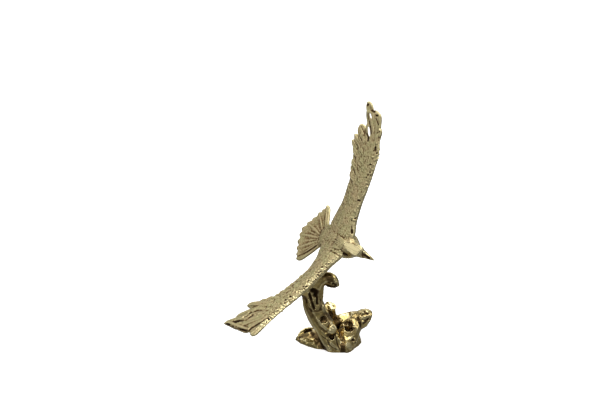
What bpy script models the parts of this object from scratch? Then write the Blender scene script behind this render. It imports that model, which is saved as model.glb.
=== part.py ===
"""Falcon statuette in cast brass: a banking falcon brazed to a gnarled tree stump.

The falcon is shaped in its own frame, nose along +X, left wing along +Y and back up +Z. It is then turned
and set down on the stump's crown, where the flat pad under its right wing faces the crown's flat top.
The stump stands on its flat underside at Z = 0, with the frame's origin in the middle of that underside.
"""

import math

import bmesh
import bpy
from mathutils import Euler, Matrix, Vector

# Driving sizes, in metres
FALCON_WIDTH = 0.212
FALCON_LENGTH = 0.083
STUMP_WIDTH = 0.060
STUMP_HEIGHT = 0.0563
BLADE_THICKNESS = 0.0020
BRAZE_GAP = 0.0003

# The seat: the flat on the crown, along the wing and across it
SEAT_LENGTH = 0.028
SEAT_WIDTH = 0.011
PAD_HEIGHT = 0.0040
CROWN_SLOPE = 0.35
CROWN_DEPTH = 0.75
CUTTER_MARGIN = 1.15

# The falcon's attitude in flight, and the lean of the seat under the rising wing
HEADING_DEG = -55
NOSE_DOWN_DEG = 4
BANK_DEG = 54
SEAT_LEAN_DEG = 15

# How finely the castings are fused, and the share of their faces that is kept
FALCON_GRAIN = 0.00060
STUMP_GRAIN = 0.00080
FALCON_KEEP = 0.050
STUMP_KEEP = 0.105

# The falcon's proportions are in hundredths of half its span, lengthwise ones of the body of its length
SPAN_UNIT = FALCON_WIDTH / 200
LENGTH_UNIT = FALCON_LENGTH / 100

RING_SIDES = 16
BLADE_SIDES = 8
WING_RINGS = 25
LIMB_STEPS = 4
SOFTENING_ROUNDS = 4
BLADE_STATIONS = (0.0, 0.15, 0.35, 0.55, 0.7, 0.82, 0.92, 0.98, 1.0)
BLADE_ROOT = 0.75
BLADE_WIDEST = 0.6
TIP_ROUNDING = 0.22
TIP_BLUNTNESS = 0.3

BODY_SECTIONS = (  # along, sideways, height, half width, half height
    (-31, -1.8, -2.4, 6.6, 1.4),
    (-24, -1.2, -2.6, 10.6, 2.8),
    (-12, 0.0, -3.6, 11.0, 5.6),
    (5, 0.0, -4.4, 10.2, 7.4),
    (14, -0.2, -3.8, 7.9, 7.0),
    (20, 0.0, -2.8, 5.4, 5.7),
    (25, 0.3, -1.7, 4.2, 4.7),
    (30, 0.6, -1.3, 3.5, 4.2),
    (34, 1.0, -1.8, 3.0, 3.5),
    (37, 1.1, -2.5, 2.0, 2.4),
)
BEAK_SECTIONS = (
    (34, 1.0, -2.3, 2.5, 2.5),
    (38, 1.1, -2.6, 2.0, 2.3),
    (41.5, 1.2, -3.1, 1.5, 1.9),
    (43.2, 1.2, -4, 1, 1.5),
    (44.4, 1.2, -5, 0.6, 1),
    (44.8, 1.2, -5.8, 0.3, 0.5),
)

LEFT_WING = {
    "side": 1,
    "rise": 26,
    "leading": ((0, 13), (10, 9.8), (20, 5.7), (32, 4.2), (46, 4.6), (60, 4.4), (72, 3), (84, -1.6)),
    "trailing": ((0, -19), (12, -19.6), (27, -17.3), (43, -18.4), (53, -21), (62, -22.6), (68, -25.5),
                 (73, -30.8), (77, -27.6), (84, -21)),
    "fingers": (  # root out, root along, tip out, tip along, width
        (67, -9, 84.5, -26.2, 8.6),
        (80, -12, 95.2, -24.4, 2.8),
        (84, -9, 102, -25.8, 6.4),
        (74, -4.5, 98, -16.8, 11.6),
        (75, -3.2, 97.4, -11.2, 7.2),
        (73, -2.6, 87.8, -4.4, 5),
    ),
}
RIGHT_WING = {
    "side": -1,
    "rise": 31,
    "leading": ((0, 13), (10, 10.4), (20, 7.9), (36, 6.8), (52, 5), (66, 2.6), (76, 1.8), (84, 1.4)),
    "trailing": ((0, -19), (12, -15), (20, -11), (30, -9.2), (46, -11.4), (56, -13.6), (64, -16.6),
                 (72, -22.4), (77, -26), (84, -25)),
    "fingers": (
        (64, -8, 78.6, -28.8, 6),
        (70, -13, 92, -27.6, 8),
        (74, -9, 100, -32, 6.2),
        (75, -6, 99.8, -27, 8.4),
        (75, -4, 98, -20.6, 9.4),
        (75, -3, 95.4, -14.4, 9.4),
        (74, -2, 93, -9, 8),
        (73, -2.2, 94, -2.8, 7),
    ),
}
WING_THICKNESS = ((0, 7.6), (14, 7.6), (30, 6.4), (50, 5.2), (66, 4.2), (76, 3.2), (84, 2.2))
TRAILING_EDGE = 0.28
RISE_POWER = 1.3
WING_DROP = 1.0
MEMBRANE_SHARE = 0.90

# The flight feathers: how far out they stand, and how much further in their roots are towards the hand
FLIGHT_FEATHERS = 15
FLIGHT_FROM, FLIGHT_TO = 14, 76
FLIGHT_WIDTH = 6.6
FLIGHT_ROOT = -2.0
FLIGHT_SLANT = 1.5
FLIGHT_LEAN = 10
FLIGHT_OVERHANG = 0.6
FEATHER_TUCK = 0.5

# The tail's fan: its root along, sideways and up, its feathers, and how far their tips droop
TAIL_ROOT = (-18.5, -4.8, -2.6)
TAIL_FEATHERS = (  # turn from straight back in degrees, reach, width
    (-52.6, 29.6, 5.8), (-44, 27.6, 7.4), (-35, 26.6, 7.4), (-20, 26.4, 8.6), (-8, 27.4, 8.6), (4, 29.8, 8.6),
    (14, 29.2, 8.2), (26, 29.4, 8.6), (38, 28.8, 8.6), (48, 29.8, 8.6), (56, 30.2, 7.6),
)
TAIL_DROP = 0.8

# The middle of the seat, out along the right wing and along the body, and its depth below the wing's middle
SEAT_OUT = 37.5
SEAT_ALONG = -1
SEAT_DEPTH = 3.6

# The middle of the seat over the foot, in shares of the stump's width
SEAT_SIDEWAYS = -0.25
SEAT_FORWARD = -0.157

# The stump's limbs are in hundredths of its width, upright ones of its height: x, y, z, half thickness
TRUNK = (
    (10, -27, -8, 13), (4, -25, 8, 14.2), (-4.4, -21, 28, 14), (-15, -16.5, 46, 14.6),
    (-21.5, -13.5, 61, 14.8),
)
HOOK = ((-17, -8, 94, 9), (-9, -6, 99, 9), (0, -4, 98.4, 9.6), (3.8, -3, 92, 9.6), (4.6, -2.5, 84.6, 9.2))
BACK_STUB = ((2, 11, 16, 10), (2, 13, 33, 8.6), (1.6, 13, 43, 8.6), (1.6, 13, 52.5, 8.4))
RIGHT_MASS = (
    (9, -24, 0, 12), (22.5, -18, 9, 14.6), (28.4, -8, 21, 14.6), (35, 3, 26, 13.6), (43.5, 7, 29.5, 13),
    (50.5, 9, 32.5, 11.8), (55, 10, 30, 10),
)
RIDGE = ((1, 8, 15, 11), (12.5, 10, 21, 9.6), (26, 10, 26, 9.8), (40, 9, 31.4, 9.8))
FRONT_KNOB = ((20, -26, 9, 10.5), (28, -24, 9.5, 9.4), (32, -20, 12, 7.6))
NEAR_CORNER = ((8, -30, 3, 9), (19, -31.5, 4, 8.6), (25, -29, 4, 7.8))
LEFT_ROOT = (
    (-3, -16, 10, 13), (-16, -6, 6, 12), (-29, 1.5, 3.4, 10.4), (-36, 5, 2.2, 9.2), (-39.5, 6, 2, 7.6),
)
ROUND_STUB = ((-6, -20, 20, 8), (-0.5, -27, 28, 7.0), (4.3, -33, 34.2, 6.6), (5.4, -34.4, 35.4, 5.2))
BACK_ROOTS = ((1, 0, 5, 16), (9, 15, 5, 14), (22, 24, 0, 11))
LIMBS = (
    TRUNK, HOOK, BACK_STUB, RIGHT_MASS, RIDGE, FRONT_KNOB, NEAR_CORNER, LEFT_ROOT, ROUND_STUB, BACK_ROOTS,
)

# The outline of the foot, round from the left root's end, and its shrinking towards the top: height, share
FOOT = (
    (-46.5, 0), (-39, -11.5), (-29, -20.5), (-17, -28.5), (-5, -31.5), (7, -34), (17, -38.5), (24, -40.5),
    (29.5, -36), (33.5, -28), (40, -19), (44.5, -9), (43.5, 6), (34, 20), (20, 28), (3, 22), (-14, 9),
    (-28, 12), (-40, 10),
)
FOOT_RINGS = ((-8, 1.0), (1, 1.0), (5, 0.97), (10, 0.86), (14, 0.6))

# Ridges of grain that stand up from the bark: points along each, x, y, z, then its half thickness
RIDGES = (
    ((-11, -17, 91), (-13.2, -19.5, 84), (-13.8, -22, 75), (-16, -26, 66), 2.8),
    ((-27, -23, 79), (-24.3, -25, 68), (-20.5, -29, 59), (-17.5, -30.5, 50), (-12, -30.5, 40),
     (-4.5, -33, 32), 2.8),
    ((-18.5, -28, 30), (-12.8, -31.5, 20), (-6, -35, 11), 2.6),
    ((15, -14, 28), (19, -11, 36), (27, -10, 39), (34, -13, 36), (36, -20, 28), (31, -27, 20),
     (22.5, -29, 18), 3.6),
    ((-7.5, -34.5, 29), (-0.8, -36.5, 19), (8.7, -38, 8.6), 2.2),
    ((-42, -1, 8), (-36, 3.5, 11.5), (-29, 6.5, 14), (-21, 6.5, 15), 2.8),
    ((37, 5.5, 41.5), (45, 3, 42), (53, 2.5, 41.5), 2.6),
    ((40, -6.5, 33), (47.7, -4, 31), (55, -1.5, 32), 2.6),
)

# Hollows: middle x, y, z and half sizes across, in depth and upright
HOLLOWS = (
    (24.8, -17, 28, 6, 9, 8.4),
    (21.5, -15, 36, 4, 6, 4.6),
    (15.6, -24, 25.5, 4, 5.4, 4),
    (2.5, -36, 20, 4.2, 5.6, 4.6),
    (-10.6, -27.5, 49, 4.2, 5.4, 5.6),
    (-4.4, -29, 42.6, 4.6, 6, 5),
    (-30, 0, 14.5, 9.5, 4.8, 5.4),
    (-2.5, -8, 84.5, 6.5, 5, 5),
)
FLUTES = (  # upper end, middle, lower end, half width
    ((-19.7, -23, 88), (-21, -26.5, 75), (-22.3, -28.5, 62), 2.4),
    ((-16.0, -21.5, 88), (-17, -24.5, 77), (-18.0, -26.5, 68), 2.2),
)


def clear_scene():
    for thing in list(bpy.data.objects):
        bpy.data.objects.remove(thing)


def brass(name, colour, roughness):
    material = bpy.data.materials.new(name)
    material.use_nodes = True
    shader = material.node_tree.nodes["Principled BSDF"]
    shader.inputs["Base Color"].default_value = (*colour, 1)
    shader.inputs["Metallic"].default_value = 1
    shader.inputs["Roughness"].default_value = roughness
    return material


def read_curve(points, at):
    """The value of a gently rounded line through a few (place, value) points."""
    if at <= points[0][0]:
        return points[0][1]
    for (here, low), (there, high) in zip(points, points[1:]):
        if at <= there:
            share = (at - here) / (there - here)
            eased = share * share * (3 - 2 * share)
            return low + (high - low) * (2 * share + eased) / 3
    return points[-1][1]


def spline(stations, steps):
    """Catmull-Rom points through stations of any width."""
    rows = [Vector(s) for s in stations]
    rows = [rows[0] * 2 - rows[1]] + rows + [rows[-1] * 2 - rows[-2]]
    points = []
    for a, b, c, d in zip(rows, rows[1:], rows[2:], rows[3:]):
        for i in range(steps):
            t = i / steps
            points.append(0.5 * ((2 * b) + (c - a) * t + (2 * a - 5 * b + 4 * c - d) * t ** 2
                                 + (3 * b - a - 3 * c + d) * t ** 3))
    points.append(rows[-2])
    return points


def add_loft(shell, rings):
    """Skins rings of points, one after another, and closes both ends."""
    rows = [[shell.verts.new(point) for point in ring] for ring in rings]
    count = len(rows[0])
    for near, far in zip(rows, rows[1:]):
        for i in range(count):
            shell.faces.new((near[i], near[(i + 1) % count], far[(i + 1) % count], far[i]))
    shell.faces.new(rows[0][::-1])
    shell.faces.new(rows[-1])


def oval_ring(centre, across, up, half_width, half_height, sides=RING_SIDES):
    turns = (2 * math.pi * i / sides for i in range(sides))
    return [centre + across * (half_width * math.cos(a)) + up * (half_height * math.sin(a)) for a in turns]


def wing_middle(wing, out):
    """Height of the wing's middle at this distance out, for the shallow V of the two wings."""
    return wing["rise"] * (out / 100) ** RISE_POWER - WING_DROP


def add_body(shell, sections):
    rings = []
    for along, sideways, height, half_width, half_height in sections:
        centre = Vector((along * LENGTH_UNIT, sideways * SPAN_UNIT, height * SPAN_UNIT))
        rings.append(oval_ring(centre, Vector((0, 1, 0)), Vector((0, 0, 1)),
                               half_width * SPAN_UNIT, half_height * SPAN_UNIT))
    add_loft(shell, rings)


def wing_ring(wing, out):
    """One section through the wing: a blunt leading edge and a thinner trailing edge."""
    leading = read_curve(wing["leading"], out)
    trailing = leading + (read_curve(wing["trailing"], out) - leading) * MEMBRANE_SHARE
    thickness = read_curve(WING_THICKNESS, out)
    ring = []
    for i in range(RING_SIDES):
        turn = 2 * math.pi * i / RING_SIDES
        share = (1 + math.cos(turn)) / 2
        half = thickness / 2 * (TRAILING_EDGE + (1 - TRAILING_EDGE) * share ** 0.7)
        height = wing_middle(wing, out) + half * math.sin(turn)
        ring.append(Vector((trailing + (leading - trailing) * share, wing["side"] * out, height)) * SPAN_UNIT)
    return ring


def add_wing(shell, wing):
    last = wing["leading"][-1][0]
    add_loft(shell, [wing_ring(wing, last * i / (WING_RINGS - 1)) for i in range(WING_RINGS)])


def blade_width(share):
    """Width along a feather, as a share of its widest: it swells slowly and ends in a round tip."""
    swell = BLADE_ROOT + (1 - BLADE_ROOT) * min(share / BLADE_WIDEST, 1)
    beyond = (share - 1 + TIP_ROUNDING) / TIP_ROUNDING
    tip = math.sqrt(max(1 - beyond ** 2, 0)) if beyond > 0 else 1
    return swell * max(tip, TIP_BLUNTNESS)


def add_blade(shell, root, tip, width):
    """One feather, a flat blade from root to tip whose back faces up."""
    spine = tip - root
    across = Vector((0, 0, 1)).cross(spine).normalized()
    lift = spine.cross(across).normalized()
    rings = []
    for share in BLADE_STATIONS:
        half = width * blade_width(share) / 2
        rings.append(oval_ring(root + spine * share, across, lift, half, BLADE_THICKNESS / 2, BLADE_SIDES))
    add_loft(shell, rings)


def wing_point(wing, out, along, tuck=0.0):
    return Vector((along, wing["side"] * out, wing_middle(wing, out) - tuck)) * SPAN_UNIT


def add_flight_feathers(shell, wing):
    """Feathers side by side along the trailing edge, leaning outward more and more towards the hand."""
    for i in range(FLIGHT_FEATHERS):
        share = i / (FLIGHT_FEATHERS - 1)
        tip_out = FLIGHT_FROM + (FLIGHT_TO - FLIGHT_FROM) * share
        root_out = tip_out - FLIGHT_SLANT - FLIGHT_LEAN * share ** 2
        tip_along = read_curve(wing["trailing"], tip_out) - FLIGHT_OVERHANG
        tip = wing_point(wing, tip_out, tip_along, FEATHER_TUCK * (i % 2))
        add_blade(shell, wing_point(wing, root_out, FLIGHT_ROOT), tip, FLIGHT_WIDTH * SPAN_UNIT)


def add_fingers(shell, wing):
    """The long feathers of the hand, which stand apart at their tips."""
    for i, (root_out, root_along, tip_out, tip_along, width) in enumerate(wing["fingers"]):
        root = wing_point(wing, root_out, root_along)
        tip = wing_point(wing, tip_out, tip_along, FEATHER_TUCK * (i % 2))
        add_blade(shell, root, tip, width * SPAN_UNIT)


def add_tail(shell):
    """The tail's feathers, spread as a fan behind the body."""
    root = Vector(TAIL_ROOT) * SPAN_UNIT
    for i, (turn_deg, reach, width) in enumerate(TAIL_FEATHERS):
        turn = math.radians(180 + turn_deg)
        drop = TAIL_DROP + FEATHER_TUCK * (i % 2)
        tip = root + Vector((math.cos(turn) * reach, math.sin(turn) * reach, -drop)) * SPAN_UNIT
        add_blade(shell, root, tip, width * SPAN_UNIT)


def falcon_turn():
    return Euler([math.radians(a) for a in (BANK_DEG, NOSE_DOWN_DEG, HEADING_DEG)]).to_matrix()


def seat_frame():
    """The seat in the falcon's frame: its middle, its directions along and across, and its normal."""
    height = wing_middle(RIGHT_WING, SEAT_OUT) - SEAT_DEPTH
    middle = Vector((SEAT_ALONG, -SEAT_OUT, height)) * SPAN_UNIT
    lean = Matrix.Rotation(math.radians(-SEAT_LEAN_DEG), 3, "X")
    return middle, lean @ Vector((0, 1, 0)), Vector((1, 0, 0)), lean @ Vector((0, 0, 1))


def add_pad(shell):
    """The pad under the wing that the braze holds. It reaches past the seat, which then trims it flat."""
    middle, long, short, normal = seat_frame()
    rings = []
    for reach, share in ((-PAD_HEIGHT / 2, 0.97), (0, 1), (PAD_HEIGHT, 1.05)):
        rings.append(oval_ring(middle + normal * reach, long, short,
                               share * SEAT_LENGTH / 2, share * SEAT_WIDTH / 2))
    add_loft(shell, rings)


def falcon_place():
    """Sets the seat of the falcon over the seat of the stump."""
    turn = falcon_turn()
    return Matrix.Translation(stump_seat() - turn @ seat_frame()[0]) @ turn.to_4x4()


def stump_seat():
    return Vector((SEAT_SIDEWAYS * STUMP_WIDTH, SEAT_FORWARD * STUMP_WIDTH, STUMP_HEIGHT))


def stump_point(x, y, z):
    return Vector((x * STUMP_WIDTH, y * STUMP_WIDTH, z * STUMP_HEIGHT)) / 100


def add_limb(shell, stations):
    """A round tapering limb of the stump along a smooth path."""
    points = [(stump_point(*p[:3]), p[3] * STUMP_WIDTH / 100) for p in spline(stations, LIMB_STEPS)]
    rings = []
    across = Vector((0, 1, 0))
    for i, (centre, half) in enumerate(points):
        run = points[min(i + 1, len(points) - 1)][0] - points[max(i - 1, 0)][0]
        up = run.cross(across).normalized()
        across = up.cross(run).normalized()
        rings.append(oval_ring(centre, across, up, half, half))
    add_loft(shell, rings)


def taper(path, half):
    """Stations along a ridge or a flute, thinner at both ends."""
    last = len(path) - 1
    return [(*point, half * (0.6 + 0.4 * math.sin(math.pi * i / last))) for i, point in enumerate(path)]


def add_foot(shell):
    """The spread foot, drawn in a little towards its top."""
    middle = Vector((sum(p[0] for p in FOOT), sum(p[1] for p in FOOT))) / len(FOOT)
    rings = []
    for height, share in FOOT_RINGS:
        outline = (middle + (Vector(p) - middle) * share for p in FOOT)
        rings.append([stump_point(x, y, height) for x, y in outline])
    add_loft(shell, rings)


def add_crown(shell):
    """The stump's spread top, from the seat's outline down into the trunk."""
    turn = falcon_turn()
    long, short, normal = (turn @ direction for direction in seat_frame()[1:])
    seat = stump_seat()
    rings = []
    for reach, share in ((PAD_HEIGHT / 2, 0.97), (0, 1), (-PAD_HEIGHT, 0.97)):
        rings.append(oval_ring(seat + normal * reach, long, short,
                               share * SEAT_LENGTH / 2, share * SEAT_WIDTH / 2))
    across = Vector((1, 0, CROWN_SLOPE)).normalized()
    for *centre, half_width in TRUNK[:-3:-1]:
        half = half_width * STUMP_WIDTH / 100
        rings.append(oval_ring(stump_point(*centre), across, Vector((0, -1, 0)), half, half * CROWN_DEPTH))
    add_loft(shell, rings)


def mesh_object(name, shell):
    bmesh.ops.recalc_face_normals(shell, faces=shell.faces)
    mesh = bpy.data.meshes.new(name)
    shell.to_mesh(mesh)
    shell.free()
    made = bpy.data.objects.new(name, mesh)
    bpy.context.scene.collection.objects.link(made)
    return made


def fuse(thing, grain):
    """Melts the overlapping shells into one skin."""
    remesh = thing.modifiers.new("Fuse", "REMESH")
    remesh.mode = "VOXEL"
    remesh.voxel_size = grain


def hide_cutter(cutter):
    cutter.hide_render = True
    cutter.display_type = "WIRE"


def add_egg(shell, middle, half_sizes):
    egg = bmesh.ops.create_icosphere(shell, subdivisions=3, radius=1)
    place = Matrix.Translation(middle) @ Matrix.Diagonal((*half_sizes, 1))
    bmesh.ops.transform(shell, matrix=place, verts=egg["verts"])


def hollow_cutter():
    shell = bmesh.new()
    for x, y, z, across, deep, upright in HOLLOWS:
        add_egg(shell, stump_point(x, y, z), stump_point(across, deep, upright))
    for *path, half in FLUTES:
        add_limb(shell, taper(path, half))
    cutter = mesh_object("hollow_cutter", shell)
    fuse(cutter, STUMP_GRAIN)
    hide_cutter(cutter)
    return cutter


def slab_cutter(name, middle, normal, size):
    """A block whose flat face passes through middle, on the side that normal points to."""
    shell = bmesh.new()
    bmesh.ops.create_cube(shell, size=size)
    turn = normal.to_track_quat("Z", "Y").to_matrix().to_4x4()
    place = Matrix.Translation(middle + normal.normalized() * size / 2) @ turn
    bmesh.ops.transform(shell, matrix=place, verts=shell.verts)
    cutter = mesh_object(name, shell)
    hide_cutter(cutter)
    return cutter


def cut(thing, cutter):
    boolean = thing.modifiers.new("Cut " + cutter.name, "BOOLEAN")
    boolean.operation = "DIFFERENCE"
    boolean.object = cutter


def soften_and_thin(thing, keep):
    """Rounds the voxel steps off, then drops the faces that flat stretches don't need."""
    smooth = thing.modifiers.new("Soften", "SMOOTH")
    smooth.factor = 0.5
    smooth.iterations = SOFTENING_ROUNDS
    thin = thing.modifiers.new("Thin out", "DECIMATE")
    thin.ratio = keep


def make_falcon():
    """The falcon's casting, in its own frame."""
    shell = bmesh.new()
    add_body(shell, BODY_SECTIONS)
    add_body(shell, BEAK_SECTIONS)
    for wing in (LEFT_WING, RIGHT_WING):
        add_wing(shell, wing)
        add_flight_feathers(shell, wing)
        add_fingers(shell, wing)
    add_tail(shell)
    add_pad(shell)
    falcon = mesh_object("falcon", shell)
    fuse(falcon, FALCON_GRAIN)
    soften_and_thin(falcon, FALCON_KEEP)
    return falcon


def make_stump():
    """The stump's casting, flat underneath."""
    shell = bmesh.new()
    for limb in LIMBS:
        add_limb(shell, limb)
    for *path, half in RIDGES:
        add_limb(shell, taper(path, half))
    add_foot(shell)
    add_crown(shell)
    stump = mesh_object("tree_stump", shell)
    fuse(stump, STUMP_GRAIN)
    cut(stump, hollow_cutter())
    fuse(stump, STUMP_GRAIN)
    soften_and_thin(stump, STUMP_KEEP)
    cut(stump, slab_cutter("ground_cutter", Vector((0, 0, 0)), Vector((0, 0, -1)), STUMP_WIDTH * 3))
    return stump


def main():
    clear_scene()
    falcon = make_falcon()
    falcon.data.materials.append(brass("satin_brass", (0.55, 0.45, 0.24), 0.45))
    falcon.matrix_world = falcon_place()
    stump = make_stump()
    stump.data.materials.append(brass("polished_brass", (0.50, 0.36, 0.14), 0.22))

    # One plane parts the two castings, each trimmed half the gap short of it
    normal = falcon_turn() @ seat_frame()[3]
    half_gap = normal * BRAZE_GAP / 2
    cut(stump, slab_cutter("crown_cutter", stump_seat() - half_gap, normal, STUMP_WIDTH))
    cut(falcon, slab_cutter("pad_cutter", stump_seat() + half_gap, -normal, SEAT_LENGTH * CUTTER_MARGIN))


main()
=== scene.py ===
# %% [markdown]
# # A falcon over a tree stump, cast in brass
# The statuette is two castings brazed together: a falcon that banks with spread wings, and the gnarled
# stump that it flies over. A founder shapes each one in wax, pours it, files the seat flat, tarnishes the
# metal and polishes what a hand would rub. This script follows that order. Rough forms come first and are
# melted into one skin, then relief is laid on, and last the finish is painted by how deep each spot lies,
# with painted shade in wide hollows and under faces that turn down, and painted highlights on rubbed parts.

# %% Start from the imported model
import math
import random

import bpy
import numpy as np
from mathutils import Euler, Matrix, Vector
from mathutils.bvhtree import BVHTree


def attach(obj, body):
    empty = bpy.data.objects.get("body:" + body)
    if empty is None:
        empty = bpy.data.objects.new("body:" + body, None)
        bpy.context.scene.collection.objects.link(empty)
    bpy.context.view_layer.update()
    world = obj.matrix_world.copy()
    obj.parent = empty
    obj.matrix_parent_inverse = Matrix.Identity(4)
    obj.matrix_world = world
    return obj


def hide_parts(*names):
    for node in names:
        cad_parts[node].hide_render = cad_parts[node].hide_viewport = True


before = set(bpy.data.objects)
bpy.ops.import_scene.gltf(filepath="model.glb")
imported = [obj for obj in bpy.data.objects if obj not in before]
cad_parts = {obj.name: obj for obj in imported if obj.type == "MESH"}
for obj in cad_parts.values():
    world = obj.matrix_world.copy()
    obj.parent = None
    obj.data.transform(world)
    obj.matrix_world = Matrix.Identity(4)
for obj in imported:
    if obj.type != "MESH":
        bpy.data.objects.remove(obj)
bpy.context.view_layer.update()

# %% [markdown]
# ## The camera and the light
# The camera stands a metre away and looks 20 degrees down, as the photographer did. A polished casting is
# a mirror, so what lights it is also what it shows: a wide soft box overhead gives the cream highlights, a
# bright screen on the left fills the satin wings, a narrow strip in front draws fine glints, and the dark
# room between them gives the brown. The floor is a pale light table, which keeps the shadow faint.

# %% Adding things
def deselect():
    bpy.ops.object.select_all(action="DESELECT")


def add(operator, name, **settings):
    """Calls one of Blender's add operators with nothing selected, and returns the new object."""
    deselect()
    operator(**settings)
    thing = bpy.context.object
    thing.name = name
    return thing


def add_node(tree, kind, **settings):
    node = tree.nodes.new(kind)
    for key, value in settings.items():
        setattr(node, key, value)
    return node


def plug(socket, value):
    """Sets an input to a value, or links it where the value is a socket."""
    if isinstance(value, bpy.types.NodeSocket):
        socket.id_data.links.new(value, socket)
    else:
        socket.default_value = value


def feed(node, **inputs):
    """Sets or links a node's inputs by their names."""
    for name, value in inputs.items():
        plug(node.inputs[name.replace("_", " ").title()], value)


def remap(tree, value, low, high):
    """Stretches a value so that low becomes 0 and high becomes 1."""
    node = add_node(tree, "ShaderNodeMapRange")
    feed(node, value=value, from_min=low, from_max=high)
    return node.outputs["Result"]


# %% Camera
PHOTO_WIDTH = 600
PIXELS_PER_RADIAN = 1260
CAMERA_DISTANCE = 1.0
CAMERA_DOWN = math.radians(20)
LOOK_AT = Vector((-0.0238, 0.003, 0.1215))
SENSOR_MM = 36
place = LOOK_AT + CAMERA_DISTANCE * Vector((0, -math.cos(CAMERA_DOWN), math.sin(CAMERA_DOWN)))
camera = add(bpy.ops.object.camera_add, "camera", location=place, rotation=(math.pi / 2 - CAMERA_DOWN, 0, 0))
camera.data.sensor_width = SENSOR_MM
camera.data.lens = PIXELS_PER_RADIAN * SENSOR_MM / PHOTO_WIDTH
bpy.context.scene.camera = camera
bpy.context.scene.view_settings.view_transform = "Standard"
print("lens", round(camera.data.lens, 1), "mm")

# %% Floor, lights and room
FLOOR_SIZE = 8
FLOOR_TONE = 0.93
FLOOR_ROUGHNESS = 0.8
TABLE_GLOW = 0.7
MIDDLE = Vector((0, 0, 0.1))
LIGHTS = (  # name, place, width and height, watts
    ("overhead", (0, 0.1, 1.3), (1.5, 1.1), 12),
    ("screen on the left", (-1.3, 0.2, 0.6), (1.4, 1.2), 3.2),
    ("backdrop", (0, 1.7, 0.55), (2.4, 1), 5),
    ("beside camera", (-0.7, -1.2, 0.9), (0.6, 0.6), 1.5),
    ("far side", (1.3, 0.3, 0.8), (0.5, 0.9), 2),
    ("strip in front", (-0.4, -1, 0.2), (0.1, 0.5), 0.22),
)
ROOM_TONES = ((0, 0.36), (0.3, 0.21), (0.46, 0.14), (0.6, 0.25), (1, 0.42))  # from floor to ceiling
ROOM_BLUE = 0.97


def pale_floor():
    floor = add(bpy.ops.mesh.primitive_plane_add, "floor", size=FLOOR_SIZE)
    paper = bpy.data.materials.new("pale_floor")
    paper.use_nodes = True
    feed(paper.node_tree.nodes["Principled BSDF"], base_color=(FLOOR_TONE, FLOOR_TONE, FLOOR_TONE, 1),
         roughness=FLOOR_ROUGHNESS, emission_color=(1, 1, 1, 1), emission_strength=TABLE_GLOW)
    floor.data.materials.append(paper)
    floor.visible_glossy = False


def soft_box(name, place, size, watts):
    turn = (MIDDLE - Vector(place)).to_track_quat("-Z", "Y").to_euler()
    lamp = add(bpy.ops.object.light_add, name, type="AREA", location=place, rotation=turn)
    lamp.data.shape = "RECTANGLE"
    lamp.data.size, lamp.data.size_y = size
    lamp.data.energy = watts


def dark_room():
    world = bpy.data.worlds.new("room")
    world.use_nodes = True
    tree = world.node_tree
    direction = add_node(tree, "ShaderNodeTexCoord")
    height = add_node(tree, "ShaderNodeSeparateXYZ")
    ramp = add_node(tree, "ShaderNodeValToRGB")
    for i, (at, tone) in enumerate(ROOM_TONES):
        stop = ramp.color_ramp.elements[i] if i < 2 else ramp.color_ramp.elements.new(at)
        stop.position = at
        stop.color = (tone, tone, tone * ROOM_BLUE, 1)
    feed(height, vector=direction.outputs["Generated"])
    feed(ramp, fac=remap(tree, height.outputs["Z"], -1, 1))
    feed(tree.nodes["Background"], color=ramp.outputs["Color"])
    bpy.context.scene.world = world


pale_floor()
for light in LIGHTS:
    soft_box(*light)
dark_room()
print(len(LIGHTS), "lights over the floor")

# %% [markdown]
# ## Measures and small tools
# The falcon is shaped in its own frame, nose along +X, left wing along +Y and back up +Z, in hundredths of
# half its span. The stump's places are hundredths of its own width and height. Working in shares like this
# keeps the proportions readable, and four measures scale most of it.

# %% Measures
FALCON_WIDTH = 0.212
FALCON_LENGTH = 0.083
STUMP_WIDTH = 0.060
STUMP_HEIGHT = 0.0563
SPAN_UNIT = FALCON_WIDTH / 200
LENGTH_UNIT = FALCON_LENGTH / 100
STUMP_UNIT = STUMP_WIDTH / 100


def span_point(x, y, z):
    return x * SPAN_UNIT, y * SPAN_UNIT, z * SPAN_UNIT


def stump_point(x, y, z):
    return Vector((x * STUMP_WIDTH, y * STUMP_WIDTH, z * STUMP_HEIGHT)) / 100


def read_curve(points, at):
    """The value of a gently rounded line through a few (place, value) points."""
    if at <= points[0][0]:
        return points[0][1]
    for (here, low), (there, high) in zip(points, points[1:]):
        if at <= there:
            share = (at - here) / (there - here)
            eased = share * share * (3 - 2 * share)
            return low + (high - low) * (2 * share + eased) / 3
    return points[-1][1]


# %% Small tools
def activate(thing):
    deselect()
    thing.select_set(True)
    bpy.context.view_layer.objects.active = thing


def link_new(name, data):
    thing = bpy.data.objects.new(name, data)
    bpy.context.scene.collection.objects.link(thing)
    return thing


def join(pieces, name):
    """Several objects become one, which keeps the first one's place."""
    activate(pieces[0])
    for piece in pieces:
        piece.select_set(True)
    bpy.ops.object.join()
    joined = bpy.context.object
    joined.name = joined.data.name = name
    return joined


def finish_modifier(thing, kind, **settings):
    """Adds one modifier, sets it and applies it."""
    activate(thing)
    modifier = thing.modifiers.new(kind.title(), kind)
    for key, value in settings.items():
        setattr(modifier, key, value)
    bpy.ops.object.modifier_apply(modifier=modifier.name)


def edit_all():
    bpy.ops.object.mode_set(mode="EDIT")
    bpy.ops.mesh.select_all(action="SELECT")


def face_outwards():
    """Turns every face outwards and leaves edit mode."""
    bpy.ops.mesh.select_all(action="SELECT")
    bpy.ops.mesh.normals_make_consistent(inside=False)
    bpy.ops.object.mode_set(mode="OBJECT")


def axes(along, across, up):
    """The turn that takes X, Y and Z to these directions."""
    return Matrix((along, across, up)).transposed()


def move_mesh(thing, place, turn=Matrix.Identity(3), size=(1, 1, 1)):
    """Stretches, turns and moves a mesh while its object stays at the origin."""
    thing.data.transform(Matrix.Translation(place) @ turn.to_4x4() @ Matrix.Diagonal((*size, 1)))


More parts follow.
